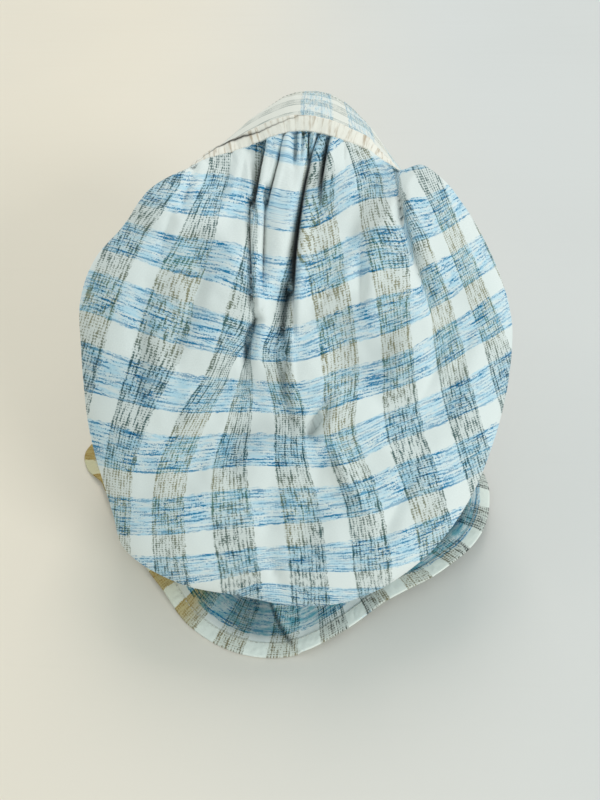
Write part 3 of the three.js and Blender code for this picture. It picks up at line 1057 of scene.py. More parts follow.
@dataclass
class Brim:
    """The soft front brim: two layers of cloth, stitched near the edge.

    Attributes:
        lap: How far the brim's root lies behind the band, in mm.
        behind: Share of the solid brim's cloth in the distance from the band back to the root.
        bow: How far the cloth bows out between root and edge, in mm.
        corner_forward: How far forward the two front corners are, in mm.
        reach: How much further the top of the arch is, in mm.
        ruffle_ends: Length over which the ruffle dies out towards the corners, in mm.
        root_ruffle: Share of the ruffle that is left at the root.
        dimple_depth: How deep the stitches pull the cloth in, in mm.
        stitch_share: Share of the way to the edge at which the stitches run.
        skew: How far the bands lean over the brim's depth, in mm.
        band_places: Places along the edge, in mm from its middle, and the band there.
    """

    seam: Seam
    band_width: float = 9.0
    band_cloth: float = 1.8
    cad_cloth: float = 2.0
    lap: float = 2.5
    behind: float = 0.55
    first_turn: float = -40.0
    last_turn: float = 218.0
    bow: float = 2.5
    arch_round: float = 0.85
    middle: float = 7.0
    half_width: float = 90.0
    height: float = 191.0
    corner_forward: float = 178.0
    reach: float = 54.0
    cloth: float = 1.7
    columns: int = 420
    rows_down: int = 64
    ruffle_length: float = 26.0
    ruffle_height: float = 1.3
    ruffle_rows: float = 2.2
    ruffle_ends: float = 25.0
    small_ruffle: Span = (3.1, 5.0)
    small_ruffle_height: float = 0.35
    root_ruffle: float = 0.25
    dimple_depth: float = 0.35
    dimple_width: float = 1.1
    stitch_share: float = 0.93
    stitch_from_edge: float = 6.5
    stripe_from_edge: float = 8.0
    skew: float = 7.0
    band_places: Rows = (
        (-300, 6.1), (-66, 0.5), (-62, 0.5), (-5, 0.36), (-4.5, 0.29), (5.5, 0.0), (16.5, -0.31),
        (27, -0.69), (50, -1.32), (300, -7.6),
    )

    def curves(self, samples: int = 900) -> tuple[Array, Array]:
        """The brim's root under the band and its front edge, both by equal lengths.

        The edge is an arch: across = middle + half_width cos, forward = corner_forward +
        reach sin, height = height sin^0.85 of the swing.

        Args:
            samples: Points on each curve before they are spaced out.

        Returns:
            The two curves' points, one for each column.
        """
        share = np.linspace(0.0, 1.0, samples)
        place, _, stand, face = self.seam.frame(lerp(self.first_turn, self.last_turn, share))
        behind = self.band_cloth / 2 + self.seam.gap + self.cad_cloth * self.behind
        root = place + stand * (self.band_width - self.lap) - face * behind
        swing = math.pi * share
        edge = np.stack(
            [
                self.middle + self.half_width * np.cos(swing),
                self.corner_forward + self.reach * np.sin(swing),
                self.height * np.sin(swing).clip(0) ** self.arch_round,
            ],
            -1,
        )
        return self._spaced(root), self._spaced(edge)

    def _spaced(self, points: Array) -> Array:
        """A curve's points spaced evenly along its length."""
        length = path_length(points)
        wanted = np.linspace(0.0, length[-1], self.columns + 1)
        return np.stack([np.interp(wanted, length, points[:, axis]) for axis in range(3)], -1)

    def grid(self) -> ClothGrid:
        """The brim's middle surface: straight from root to edge with a slight bow and ruffle."""
        root, edge = self.curves()
        share = np.linspace(0.0, 1.0, self.rows_down + 1)[:, None]
        line = lerp(root, edge, share[..., None])
        outward = lerp(edge, root, 0.5) - np.array([self.middle, 0.0, self.height / 3])
        outward[:, 1] = 0.0
        outward = unit(outward)
        run = path_length(edge)
        width = np.linalg.norm(edge - root, axis=-1)
        last = run[-1]
        ends = smoothstep(run, 0.0, self.ruffle_ends)
        ends = ends * (1 - smoothstep(run, last - self.ruffle_ends, last))
        across = run / self.ruffle_length
        ruffle = self.ruffle_height * soft_noise(across, share * self.ruffle_rows, Seed.RUFFLE)
        closer, rows = self.small_ruffle
        small = soft_noise(across * closer, share * rows, Seed.SMALL_RUFFLE)
        ruffle += self.small_ruffle_height * small
        ruffle = ruffle * ends * lerp(self.root_ruffle, 1.0, share)
        bowed = self.bow * np.sin(math.pi * share) + ruffle
        from_stitches = (1 - share) * width - self.stitch_from_edge
        dimple = np.exp(-((from_stitches / self.dimple_width) ** 2))
        points = line + outward * (bowed - self.dimple_depth * dimple)[..., None]
        stripes = ((1 - share) * width - self.stripe_from_edge) / PLAID_PERIOD
        places, numbers = np.array(self.band_places).T
        bands = np.interp(last / 2 - run - self.skew * (1 - share), places, numbers)
        return ClothGrid(points, np.stack([stripes, bands], -1))

    def build(self) -> Object:
        """The brim's object."""
        return ClothWall(self.grid(), self.cloth).build("brim_cloth")


@dataclass
class Curtain:
    """The flared neck curtain below the crown, and the narrow hem that is turned along it.

    Attributes:
        circle: Middle of the turns at the curtain's edge, in mm.
        flare: Power of the curtain's fall.
        stripe_turn: Turn that one stripe takes, in degrees; stripe 0 is at stripe_start.
        band_from_edge: Distance of band 0 from the edge, in mm.
        band_nearer: How much nearer the band is at the end of near_turns, in mm.
        pleat_turn: Turn of the pleat at the edge, in degrees; it leans by pleat_lean for each mm.
        pleat_rise: Height of the pleat's step, in mm; pleat_step is half its turn.
        step_shade: Painted shade at the step; the others are on its left and, under the crown, on the
            far right.
        step_rise: Distances from the edge between which it rises, in mm, as the others do.
        hem_row: The hem's row that its stitches run on.
    """

    seam: Seam
    edge: TurnTable
    first_turn: float = 223.0
    last_turn: float = 316.0
    band_width: float = 9.0
    clearance: float = 0.7
    circle: tuple[float, float] = (-11.0, 33.0)
    flare: float = 1.9
    gather_count: int = 13
    gather_rise: float = 1.8
    gather_round: float = 0.6
    hem_width: float = 9.0
    hem_cloth: float = 1.7
    cad_hem_cloth: float = 2.0
    hem_lift: float = 0.4
    hem_swell: float = 0.35
    hem_ripple: Span = (0.8, 2.0)
    rest_gap: float = 0.15
    rest_soft: float = 0.8
    cloth: float = 0.9
    columns: int = 640
    rows_down: int = 70
    lining_step: int = 2
    hem_rows: int = 12
    hem_row: int = 1
    stripe_turn: float = 13.1
    stripe_start: float = 270.0
    band_from_edge: float = 25.5
    band_nearer: float = 7.0
    near_turns: Span = (294.0, 314.0)
    pleat_turn: float = 274.0
    pleat_lean: float = 0.28
    pleat_rise: float = 3.6
    pleat_step: float = 0.5
    pleat_fade: float = 10.0
    wave_size: Span = (8.0, 30.0)
    small_wave_size: Span = (2.2, 16.0)
    small_wave_height: float = 0.3
    step_shade: float = 0.95
    step_width: float = 0.6
    step_rise: Span = (3.0, 12.0)
    left_shade: float = 0.5
    left_turns: Span = (-34.0, -8.0)
    left_rise: Span = (7.0, 16.0)
    right_shade: float = 0.7
    right_turns: Span = (300.0, 322.0)
    right_rise: Span = (9.0, 20.0)

    def point(self, share: Array, left: Callable[[Array], Array]) -> tuple[Array, Array, Array]:
        """Points of the curtain at shares of its width.

        A column runs straight, seen from above, from the band to the hem's circle, while its
        height falls by 1 - (1-d)^1.9 of the way d, with a wave of gathers on it. Where it
        would sink into the surface, its height a above its rest is (a + sqrt(a^2 + 0.8))/2.

        Args:
            share: Shares of the width, in columns.
            left: Gives the distance to the edge, in mm, from a column's length.

        Returns:
            The points, the turns at the edge and the distances to the edge.
        """
        turn = lerp(self.first_turn, self.last_turn, share)
        place, _, stand, _ = self.seam.frame(turn)
        start = place + stand * (self.band_width + self.clearance)
        edge_turn = lerp(self.edge.rows[0][0], self.edge.rows[-1][0], share)
        reach, height = self.edge.read("reach", edge_turn), self.edge.read("height", edge_turn)
        angle = np.radians(edge_turn)
        end = np.stack(
            [
                self.circle[0] + reach * np.cos(angle),
                self.circle[1] + reach * np.sin(angle),
                height + self.cad_hem_cloth * self.hem_lift,
            ],
            -1,
        )
        length = np.linalg.norm(end - start, axis=-1)
        distance = left(length)
        done = 1 - distance / length
        points = lerp(start, end, done[..., None])
        points[..., 2] = lerp(start[..., 2], end[..., 2], 1 - (1 - done).clip(0) ** self.flare)
        gather = np.sin(2 * math.pi * self.gather_count * share)
        rise = np.sin(math.pi * done.clip(0, 1) ** self.gather_round)
        points[..., 2] += self.gather_rise * gather * rise
        points[..., 2] += self.relief(edge_turn, distance) * done.clip(0, 1)
        rest = self.hem_cloth / 2 + self.rest_gap
        above = points[..., 2] - rest
        points[..., 2] = rest + 0.5 * (above + np.sqrt(above**2 + self.rest_soft))
        turns = np.broadcast_to(edge_turn, distance.shape)
        return points, turns, distance

    def off_pleat(self, turn: Array, distance: Array) -> Array:
        """Turns from the pleat, which leans: it is further round at the edge than at the top."""
        return turn + self.pleat_lean * distance - self.pleat_turn

    def relief(self, turn: Array, distance: Array) -> Array:
        """The pleat beside the middle and the slack cotton's small waves, in mm of height.

        The cloth steps up by a steep S at the pleat and sinks again by exp(-(off/10)^2).
        """
        off = self.off_pleat(turn, distance)
        fold = self.pleat_rise * smoothstep(off, -self.pleat_step, self.pleat_step)
        fold = fold * np.exp(-((off / self.pleat_fade) ** 2))
        wide, deep = self.wave_size
        waves = soft_noise(turn / wide, distance / deep, Seed.WAVES)
        wide, deep = self.small_wave_size
        small = soft_noise(turn / wide, distance / deep, Seed.SMALL_WAVES)
        return waves + self.small_wave_height * small + fold

    def shade(self, turn: Array, distance: Array) -> Array:
        """Painted shade of the cloth: most at the pleat's step, less on its left and far right."""
        off = self.off_pleat(turn, distance)
        step = self.step_shade * np.exp(-((off / self.step_width) ** 2))
        step = step * smoothstep(distance, *self.step_rise)
        left = self.left_shade * smoothstep(off, *self.left_turns) * (off < 0)
        left = left * smoothstep(distance, *self.left_rise)
        right = self.right_shade * smoothstep(turn, *self.right_turns)
        right = right * smoothstep(distance, *self.right_rise)
        return np.maximum(step, np.maximum(left, right))

    def plaid(self, turns: Array, distance: Array) -> Array:
        """Stripe and band coordinates: stripes by the turn, bands by the distance to the edge.

        The band comes nearer to the edge on the right, where the cloth was cut aslant.
        """
        stripes = (turns - self.stripe_start) / self.stripe_turn
        nearer = self.band_nearer * smoothstep(turns, *self.near_turns)
        bands = (self.band_from_edge - nearer - distance) / PLAID_PERIOD
        return np.stack([stripes, bands], -1)

    def grids(self) -> tuple[ClothGrid, ClothGrid]:
        """The curtain's and the hem's middle surfaces."""
        share = np.linspace(0.0, 1.0, self.columns + 1)
        down = np.linspace(0.0, 1.0, self.rows_down + 1)[:, None]
        top = self.hem_width + self.seam.gap
        cloth, turns, distance = self.point(share, lambda length: lerp(length, top, down))
        body = ClothGrid(cloth, self.plaid(turns, distance), self.shade(turns, distance))
        across = np.linspace(0.0, 1.0, self.hem_rows + 1)[:, None]
        turned, turns, distance = self.point(
            share, lambda length: lerp(self.hem_width, 0.0, across) * np.ones_like(length)
        )
        shorter, rows = self.hem_ripple
        ripple = 1 + soft_noise(turns / shorter, across * rows, Seed.HEM)
        turned[..., 2] += self.hem_swell * np.sin(math.pi * across) * ripple
        hem = ClothGrid(turned, self.plaid(turns, distance), self.shade(turns, distance))
        return body, hem

    def build(self) -> tuple[Object, Object]:
        """The curtain's and the hem's objects."""
        body, hem = self.grids()
        curtain = ClothWall(body, self.cloth, self.lining_step).build("curtain_cloth")
        return curtain, ClothWall(hem, self.hem_cloth).build("curtain_hem_cloth")


Wire = bpy.types.NodeSocket
Socket = Union[Wire, float]
PrintLayer = tuple[Wire, Wire]
Colour = tuple[float, float, float]


class FinishWriter:
    """Writes a material's nodes."""

    def __init__(self, name: str) -> None:
        """Starts an empty material with its shader and output."""
        self.material = bpy.data.materials.new(name)
        self.material.use_nodes = True
        self.tree = self.material.node_tree
        self.tree.nodes.clear()
        self.shader = self.tree.nodes.new("ShaderNodeBsdfPrincipled")
        output = self.tree.nodes.new("ShaderNodeOutputMaterial")
        self.tree.links.new(self.shader.outputs["BSDF"], output.inputs["Surface"])

    def set(self, **values: float) -> None:
        """Sets the shader's own sockets, named with underscores for spaces."""
        for name, value in values.items():
            self.shader.inputs[name.replace("_", " ")].default_value = value

    def link(self, source: Wire, name: str) -> None:
        """Links a socket to one of the shader's."""
        self.tree.links.new(source, self.shader.inputs[name])

    def _feed(self, socket: Wire, value: Socket) -> None:
        """Links a socket or sets a number."""
        if isinstance(value, Wire):
            self.tree.links.new(value, socket)
        else:
            socket.default_value = value

    def uv(self) -> Wire:
        """The plaid's stripe and band coordinates."""
        node = self.tree.nodes.new("ShaderNodeUVMap")
        node.uv_map = "plaid"
        return node.outputs["UV"]

    def painted_shade(self) -> Wire:
        """The painted shade of each point, from 0 to 1."""
        node = self.tree.nodes.new("ShaderNodeAttribute")
        node.attribute_name = "painted_shade"
        return node.outputs["Fac"]

    def place(self) -> Wire:
        """The object's own coordinates, in metres."""
        return self.tree.nodes.new("ShaderNodeTexCoord").outputs["Object"]

    def parts(self, vector: Wire) -> tuple[Wire, ...]:
        """A vector's three parts."""
        node = self.tree.nodes.new("ShaderNodeSeparateXYZ")
        self.tree.links.new(vector, node.inputs[0])
        return tuple(node.outputs)

    def vector(self, x: Socket, y: Socket, z: Socket = 0.0) -> Wire:
        """A vector of three parts."""
        node = self.tree.nodes.new("ShaderNodeCombineXYZ")
        for socket, value in zip(node.inputs, (x, y, z)):
            self._feed(socket, value)
        return node.outputs[0]

    def stretched(self, x: Wire, x_scale: float, y: Wire, y_scale: float, z: float = 0.0) -> Wire:
        """A vector of two values, each at its own scale, and a third part."""
        return self.vector(self.math("MULTIPLY", x, x_scale), self.math("MULTIPLY", y, y_scale), z)

    def ridges(self, along: Wire, count: float) -> Wire:
        """A sine wave from -1 to 1, with a count of ridges in each unit of a value."""
        return self.math("SINE", self.math("MULTIPLY", along, 2 * math.pi * count))

    def math(self, operation: str, *values: Socket) -> Wire:
        """One arithmetic step on one, two or three values."""
        node = self.tree.nodes.new("ShaderNodeMath")
        node.operation = operation
        for socket, value in zip(node.inputs, values):
            self._feed(socket, value)
        return node.outputs[0]

    def total(self, *values: Socket) -> Wire:
        """The sum of the values."""
        result = self.math("ADD", values[0], values[1])
        for value in values[2:]:
            result = self.math("ADD", result, value)
        return result

    def product(self, *values: Socket) -> Wire:
        """The product of the values."""
        result = self.math("MULTIPLY", values[0], values[1])
        for value in values[2:]:
            result = self.math("MULTIPLY", result, value)
        return result

    def noise(
        self, vector: Wire, scale: float, detail: float = 2.0, rough: float = 0.5
    ) -> Wire:
        """Fractal noise about 0.5."""
        node = self.tree.nodes.new("ShaderNodeTexNoise")
        node.inputs["Scale"].default_value = scale
        node.inputs["Detail"].default_value = detail
        node.inputs["Roughness"].default_value = rough
        self.tree.links.new(vector, node.inputs["Vector"])
        return node.outputs[0]

    def ramp(
        self, value: Socket, low: float, high: float, first: float = 0.0, last: float = 1.0
    ) -> Wire:
        """An S-shaped change from first at low to last at high."""
        node = self.tree.nodes.new("ShaderNodeMapRange")
        node.interpolation_type = "SMOOTHSTEP"
        for name, number in zip(("From Min", "From Max", "To Min", "To Max"), (low, high, first, last)):
            node.inputs[name].default_value = number
        self._feed(node.inputs["Value"], value)
        return node.outputs["Result"]

    def mix(
        self, share: Socket, first: Union[Wire, Colour], second: Union[Wire, Colour], blend: str = "MIX"
    ) -> Wire:
        """Two colours mixed by a share; each is a socket or a red, green and blue."""
        node = self.tree.nodes.new("ShaderNodeMix")
        node.data_type = "RGBA"
        node.blend_type = blend
        self._feed(node.inputs[0], share)
        for socket, colour in ((node.inputs[6], first), (node.inputs[7], second)):
            if isinstance(colour, Wire):
                self.tree.links.new(colour, socket)
            else:
                socket.default_value = (*colour, 1.0)
        return node.outputs[2]

    def bump(self, height: Wire, strength: float, distance: float) -> None:
        """Bumps the shader's normal by a height."""
        node = self.tree.nodes.new("ShaderNodeBump")
        node.inputs["Strength"].default_value = strength
        node.inputs["Distance"].default_value = distance
        self.tree.links.new(height, node.inputs["Height"])
        self.link(node.outputs["Normal"], "Normal")


def linear(red: int, green: int, blue: int) -> Colour:
    """A screen colour, 0 to 255, as linear light: ((c + 0.055)/1.055)^2.4."""

    def one(value: int) -> float:
        """One channel."""
        share = value / 255.0
        return share / 12.92 if share <= 0.04045 else ((share + 0.055) / 1.055) ** 2.4

    return one(red), one(green), one(blue)


def cotton_fibre(work: FinishWriter, stripe: Wire, band: Wire) -> Wire:
    """The cotton's fine fibre, as noise about 0.5."""
    return work.noise(work.vector(stripe, band, 9.0), 60.0, 3.0, 0.65)


def matt_cotton(work: FinishWriter, fibre: Wire) -> None:
    """A cotton's roughness, higher where the fibre stands up, and its faint sheen."""
    work.link(work.ramp(fibre, 0.2, 0.8, 0.78, 0.94), "Roughness")
    work.set(Sheen_Weight=0.12, Sheen_Roughness=0.5, Specular_IOR_Level=0.22)


@dataclass(frozen=True)
class PlaidCotton:
    """White cotton with chalky blue bands and grey stripes, dark teal where they cross.

    Attributes:
        white: The cloth's ground.
        wash: The pale blue between a band's lines.
        blue: A band's lines.
        grey: A stripe's lines.
        crossed: The tint of the cloth where a band and a stripe cross.
        warm: The stripes' lines where they are browner in places, and where painted warm light falls on
            them.
        warm_lit_cloth: Painted warm light on the whole cloth there.
        warm_lit_below: The stripe number below which painted warm light falls on the stripes.
        base: How much a stripe's cloth is dimmed between its lines.
        depth: Painted shade colour, multiplied into cloth deep in a pleat and where the curtain lies in
            shade.
        half_band: Half a band's width, in periods.
        half_stripe: Half a stripe's width, in periods.
        lines: Lines in one period, of bands and stripes.
        dots: Threads in one period, which break the lines into dots.
        strength: How strong the print is, from 0 to 1.
    """

    white: Colour = linear(232, 235, 231)
    wash: Colour = linear(186, 217, 230)
    blue: Colour = linear(26, 124, 168)
    grey: Colour = linear(38, 90, 90)
    crossed: Colour = linear(108, 220, 244)
    warm: Colour = linear(212, 190, 138)
    warm_lit_cloth: Colour = linear(228, 212, 170)
    warm_lit_below: float = -99.0
    base: float = 0.13
    depth: Colour = linear(48, 78, 84)
    half_band: float = 0.305
    half_stripe: float = 0.285
    lines: float = 18.0
    dots: float = 27.0
    strength: float = 1.0

    def print_layer(
        self,
        work: FinishWriter,
        over: Wire,
        along: Wire,
        half: float,
        dash: float,
        dotted: float,
        seed: float,
    ) -> PrintLayer:
        """The print of one direction: its broad mark and its lines.

        The mark is where the distance to the nearest whole number, wavered by noise, is under
        half. The lines are a sine of the coordinate, broken by noise drawn out along them.

        Args:
            work: The material's writer.
            over: Coordinate across the lines.
            along: Coordinate along the lines.
            half: Half the mark's width.
            dash: How often the lines break in a period.
            dotted: How much the lines' threads show as dots.
            seed: Offset of the noise.

        Returns:
            The mark and the lines, from 0 to 1.
        """

        def grain(along_scale: float, over_scale: float, offset: float, rough: float) -> Wire:
            """Noise with its own scales along and across the lines, about 0."""
            drawn = work.stretched(along, along_scale, over, over_scale, seed + offset)
            return work.math("ADD", work.noise(drawn, 1.0, 2.0, rough), -0.5)

        waver = grain(1.3, 0.9, 0.0, 0.5)
        wavered = work.math("MULTIPLY_ADD", waver, 0.07, over)
        near = work.math("PINGPONG", wavered, 0.5)
        edge = work.math("MULTIPLY_ADD", grain(dash * 0.4, 26.0, 3.0, 0.6), 0.10, near)
        mark = work.ramp(edge, half + 0.012, half - 0.012)
        level = work.total(
            work.product(work.ridges(wavered, self.lines), 0.17),
            work.product(work.ridges(along, self.dots), dotted),
            work.product(grain(dash * 0.13, 15.0, 7.0, 0.6), 1.9),
            work.product(grain(dash, 56.0, 11.0, 0.9), 2.1),
            work.ramp(near, half - 0.10, half - 0.02, 0.0, 0.12),
        )
        return mark, work.ramp(level, 0.05, 0.30)

    def weave(self, work: FinishWriter, stripe: Wire, band: Wire) -> Wire:
        """The height of the plain weave: crossing ridges 0.6 mm apart, with soft slubs."""
        warp = work.product(work.ridges(stripe, PERIOD_THREADS), 0.10)
        weft = work.product(work.ridges(band, PERIOD_THREADS), 0.10)
        return work.total(warp, weft, work.noise(work.vector(stripe, band, 5.0), 26.0, 3.0, 0.6))

    def banded(
        self, work: FinishWriter, stripe: Wire, band: Wire, ground: Wire, bands: PrintLayer
    ) -> Wire:
        """The ground with blue bands: a patchy pale wash, then lines that are faded in places.

        Args:
            work: Writer of the material.
            stripe: Stripe coordinate.
            band: Band coordinate.
            ground: Colour of the bare cloth.
            bands: Mark and lines of the bands.

        Returns:
            The colour.
        """
        mark, lines = bands
        streaked = work.stretched(stripe, 3.0, band, 13.0, 14.0)
        patch = work.ramp(work.noise(streaked, 1.0, 3.0, 0.6), 0.36, 0.66, 0.15, 1.0)
        washed = work.mix(work.product(mark, patch, self.strength), ground, self.wash)
        faded = work.ramp(work.noise(work.vector(stripe, band, 2.0), 2.4, 2.0), 0.42, 0.66, 0.55, 1.1)
        return work.mix(work.product(mark, lines, faded, self.strength), washed, self.blue)

    def crossings(
        self, work: FinishWriter, stripe: Wire, band: Wire, bands: PrintLayer, stripes: PrintLayer
    ) -> Wire:
        """The blotchy share of the tint where bands and stripes cross, which follows their lines.

        Args:
            work: Writer of the material.
            stripe: Stripe coordinate.
            band: Band coordinate.
            bands: Mark and lines of the bands.
            stripes: Mark and lines of the stripes.

        Returns:
            The share.
        """
        blotched = work.stretched(stripe, 1.6, band, 2.6, 23.0)
        blotch = work.ramp(work.noise(blotched, 1.3, 3.0, 0.6), 0.38, 0.66, 0.2, 1.0)
        hatch = work.ramp(work.total(bands[1], stripes[1]), 0.1, 1.3, 0.05, 0.75)
        return work.product(bands[0], stripes[0], blotch, hatch, self.strength)

    def striped(
        self, work: FinishWriter, stripe: Wire, band: Wire, inked: Wire, stripes: PrintLayer
    ) -> Wire:
        """The print with grey stripes, browner in places, and tan below warm_lit_below, where painted
        warm light falls on stripes and cloth.

        Args:
            work: Writer of the material.
            stripe: Stripe coordinate.
            band: Band coordinate.
            inked: Colour of the cloth with its bands.
            stripes: Mark and lines of the stripes.

        Returns:
            The colour.
        """
        mark, lines = stripes
        # Painted warm light: below warm_lit_below the stripes fill tan and warm, and the cloth takes
        # warm_lit_cloth.
        below = self.warm_lit_below
        tan = work.ramp(stripe, below, below + 0.6, 0.9, self.base)
        brown = work.ramp(work.noise(work.vector(stripe, band, 31.0), 0.45, 1.0), 0.44, 0.6, 0.0, 0.5)
        brown_and_warm_lit = work.math("MAXIMUM", brown, work.ramp(stripe, below, below + 1.0, 1.0, 0.0))
        grey = work.mix(brown_and_warm_lit, self.grey, self.warm)
        dimmed = work.mix(work.product(mark, tan, self.strength), inked, grey, "MULTIPLY")
        share = work.product(mark, lines, 0.92 * self.strength)
        struck = work.mix(share, dimmed, grey, "MULTIPLY")
        side = work.ramp(stripe, below - 2.0, below + 1.0, 0.85, 0.0)
        return work.mix(side, struck, self.warm_lit_cloth, "MULTIPLY")

    def build(self, name: str) -> bpy.types.Material:
        """The material."""
        work = FinishWriter(name)
        stripe, band, _ = work.parts(work.uv())
        bands = self.print_layer(work, band, stripe, self.half_band, 17.0, 0.05, 1.0)
        stripes = self.print_layer(work, stripe, band, self.half_stripe, 34.0, 0.14, 40.0)
        fibre = cotton_fibre(work, stripe, band)
        ground = work.mix(work.ramp(fibre, 0.3, 0.7), self.white, tuple(c * 0.93 for c in self.white))
        inked = self.banded(work, stripe, band, ground, bands)
        crossing = self.crossings(work, stripe, band, bands, stripes)
        inked = work.mix(crossing, inked, self.crossed, "MULTIPLY")
        printed = self.striped(work, stripe, band, inked, stripes)
        # Painted shade: the depth colour is multiplied in where the painted shade is high.
        work.link(work.mix(work.painted_shade(), printed, self.depth, "MULTIPLY"), "Base Color")
        matt_cotton(work, fibre)
        work.bump(self.weave(work, stripe, band), 0.35, 0.00035)
        return work.material


@dataclass(frozen=True)
class CreamCotton:
    """The band's plain cotton, cream with faint brown in its puckers."""

    cream: Colour = linear(252, 244, 232)
    shade: Colour = linear(190, 170, 146)
    depth: Colour = linear(46, 44, 40)

    def build(self, name: str) -> bpy.types.Material:
        """The material."""
        work = FinishWriter(name)
        stripe, band, _ = work.parts(work.uv())
        pucker = work.noise(work.stretched(stripe, 16.0, band, 1.8), 1.0, 3.0, 0.6)
        fibre = cotton_fibre(work, stripe, band)
        share = work.total(work.ramp(pucker, 0.47, 0.72, 0.0, 0.85), work.product(fibre, 0.2))
        toned = work.mix(share, self.cream, self.shade)
        # Painted shadow: the depth colour is multiplied in along the gap line under the brim.
        work.link(work.mix(work.painted_shade(), toned, self.depth, "MULTIPLY"), "Base Color")
        matt_cotton(work, fibre)
        warp = work.product(work.ridges(stripe, PERIOD_THREADS), 0.1)
        work.bump(work.total(work.product(pucker, 1.2), warp, fibre), 0.4, 0.0004)
        return work.material


@dataclass(frozen=True)
class SewingThread:
    """Matt off-white sewing thread with its twist."""

    thread: Colour = linear(214, 212, 202)
    shade: Colour = linear(170, 170, 162)

    def build(self, name: str) -> bpy.types.Material:
        """The material."""
        work = FinishWriter(name)
        twist = work.noise(work.place(), 1600.0, 2.0)
        work.link(work.mix(work.ramp(twist, 0.35, 0.65), self.thread, self.shade), "Base Color")
        work.set(Roughness=0.8, Sheen_Weight=0.2, Specular_IOR_Level=0.3)
        work.bump(twist, 0.4, 0.0002)
        return work.material


@dataclass(frozen=True)
class PaintedBoard:
    """The white-painted surface with a faint grain, warm on the left and cool on the right as painted
    warm light from the left.
    """

    warm: Colour = linear(238, 224, 206)
    cool: Colour = linear(219, 216, 213)
    worn: Colour = linear(176, 174, 168)
    half_width: float = 0.30

    def build(self, name: str) -> bpy.types.Material:
        """The material."""
        work = FinishWriter(name)
        x, y, _ = work.parts(work.place())
        # Painted light: the colour warms towards the left, where warm light falls.
        share = work.ramp(x, -self.half_width, self.half_width)
        ground = work.mix(share, self.warm, self.cool)
        grain = work.noise(work.stretched(x, 5.0, y, 90.0), 1.0, 4.0, 0.6)
        cloud = work.ramp(work.noise(work.vector(x, y), 3.0, 2.0), 0.35, 0.7, 0.0, 0.05)
        darker = work.total(work.ramp(grain, 0.62, 0.8, 0.0, 0.05), cloud)
        work.link(work.mix(darker, ground, self.worn), "Base Color")
        work.link(work.ramp(grain, 0.3, 0.7, 0.5, 0.62), "Roughness")
        work.set(Specular_IOR_Level=0.25)
        work.bump(grain, 0.15, 0.0006)
        return work.material


@dataclass
class StitchRow:
    """A row of sewing stitches laid on a cloth's line, one for each pitch in mm."""

    length: float = 2.3
    pitch: float = 3.1
    radius: float = 0.24
    around: int = 6
    rings: int = 6

    def build(self, name: str, line: Array, face: Array) -> Object:
        """Stitches along a line, each a small spindle that dips at its ends.

        A stitch is a tube about the line with the radius r*sin(180t)^0.4 at its share t, and
        its middle is raised off the cloth by r*sin(180t).

        Args:
            name: Name of the object.
            line: Points of the line on the cloth's surface, in mm.
            face: Unit vectors out of the cloth at those points.

        Returns:
            The object.
        """
        steps = np.linalg.norm(np.diff(line, axis=0), axis=-1)
        run = np.concatenate([[0.0], np.cumsum(steps)])
        starts = np.arange(self.pitch, run[-1] - self.pitch, self.pitch)
        share = np.linspace(0.0, 1.0, self.rings + 1)
        where = starts[:, None] + share * self.length
        middle = np.stack([np.interp(where, run, line[:, axis]) for axis in range(3)], -1)
        up = unit(np.stack([np.interp(where, run, face[:, axis]) for axis in range(3)], -1))
        ahead = unit(np.gradient(middle, axis=1))
        side = unit(np.cross(ahead, up))
        swell = np.sin(math.pi * share).clip(0)
        middle = middle + up * (self.radius * swell)[:, None]
        wide = self.radius * (0.02 + swell**0.4)
        angle = np.linspace(0.0, 2 * math.pi, self.around, endpoint=False)
        spoke = np.cos(angle)[:, None] * side[..., None, :]
        spoke = spoke + np.sin(angle)[:, None] * up[..., None, :]
        places = middle[..., None, :] + spoke * wide[:, None, None]
        count, rings = places.shape[:2]
        index = np.arange(count * rings * self.around).reshape(count, rings, self.around)
        turned = np.roll(index, -1, 2)
        faces = np.stack([index[:, :-1], turned[:, :-1], turned[:, 1:], index[:, 1:]], -1)
        caps = [*index[:, 0, ::-1].tolist(), *index[:, -1].tolist()]
        all_faces = faces.reshape(-1, 4).tolist() + caps
        piece = add_object(name, smooth_mesh(name, places.reshape(-1, 3), all_faces))
        outward_faces(piece)
        return piece


def outward_faces(piece: Object) -> None:
    """Turns the faces of a mesh's closed shells outwards."""
    work = bmesh.new()
    work.from_mesh(piece.data)
    bmesh.ops.recalc_face_normals(work, faces=work.faces)
    work.to_mesh(piece.data)
    work.free()


@dataclass(frozen=True)
class Lamp:
    """A square soft light: its place and the length of its sides, in metres, and its power."""

    name: str
    place: tuple[float, float, float]
    size: float
    watts: float
    colour: Colour

    def hang(self, aim: Vector) -> None:
        """Puts the light in the scene, facing a place in metres."""
        data = bpy.data.lights.new(self.name, "AREA")
        data.shape, data.size, data.energy, data.color = "SQUARE", self.size, self.watts, self.colour
        light = add_object(self.name, data)
        light.location = Vector(self.place)
        light.rotation_mode = "QUATERNION"
        light.rotation_quaternion = (aim - light.location).to_track_quat("-Z", "Y")


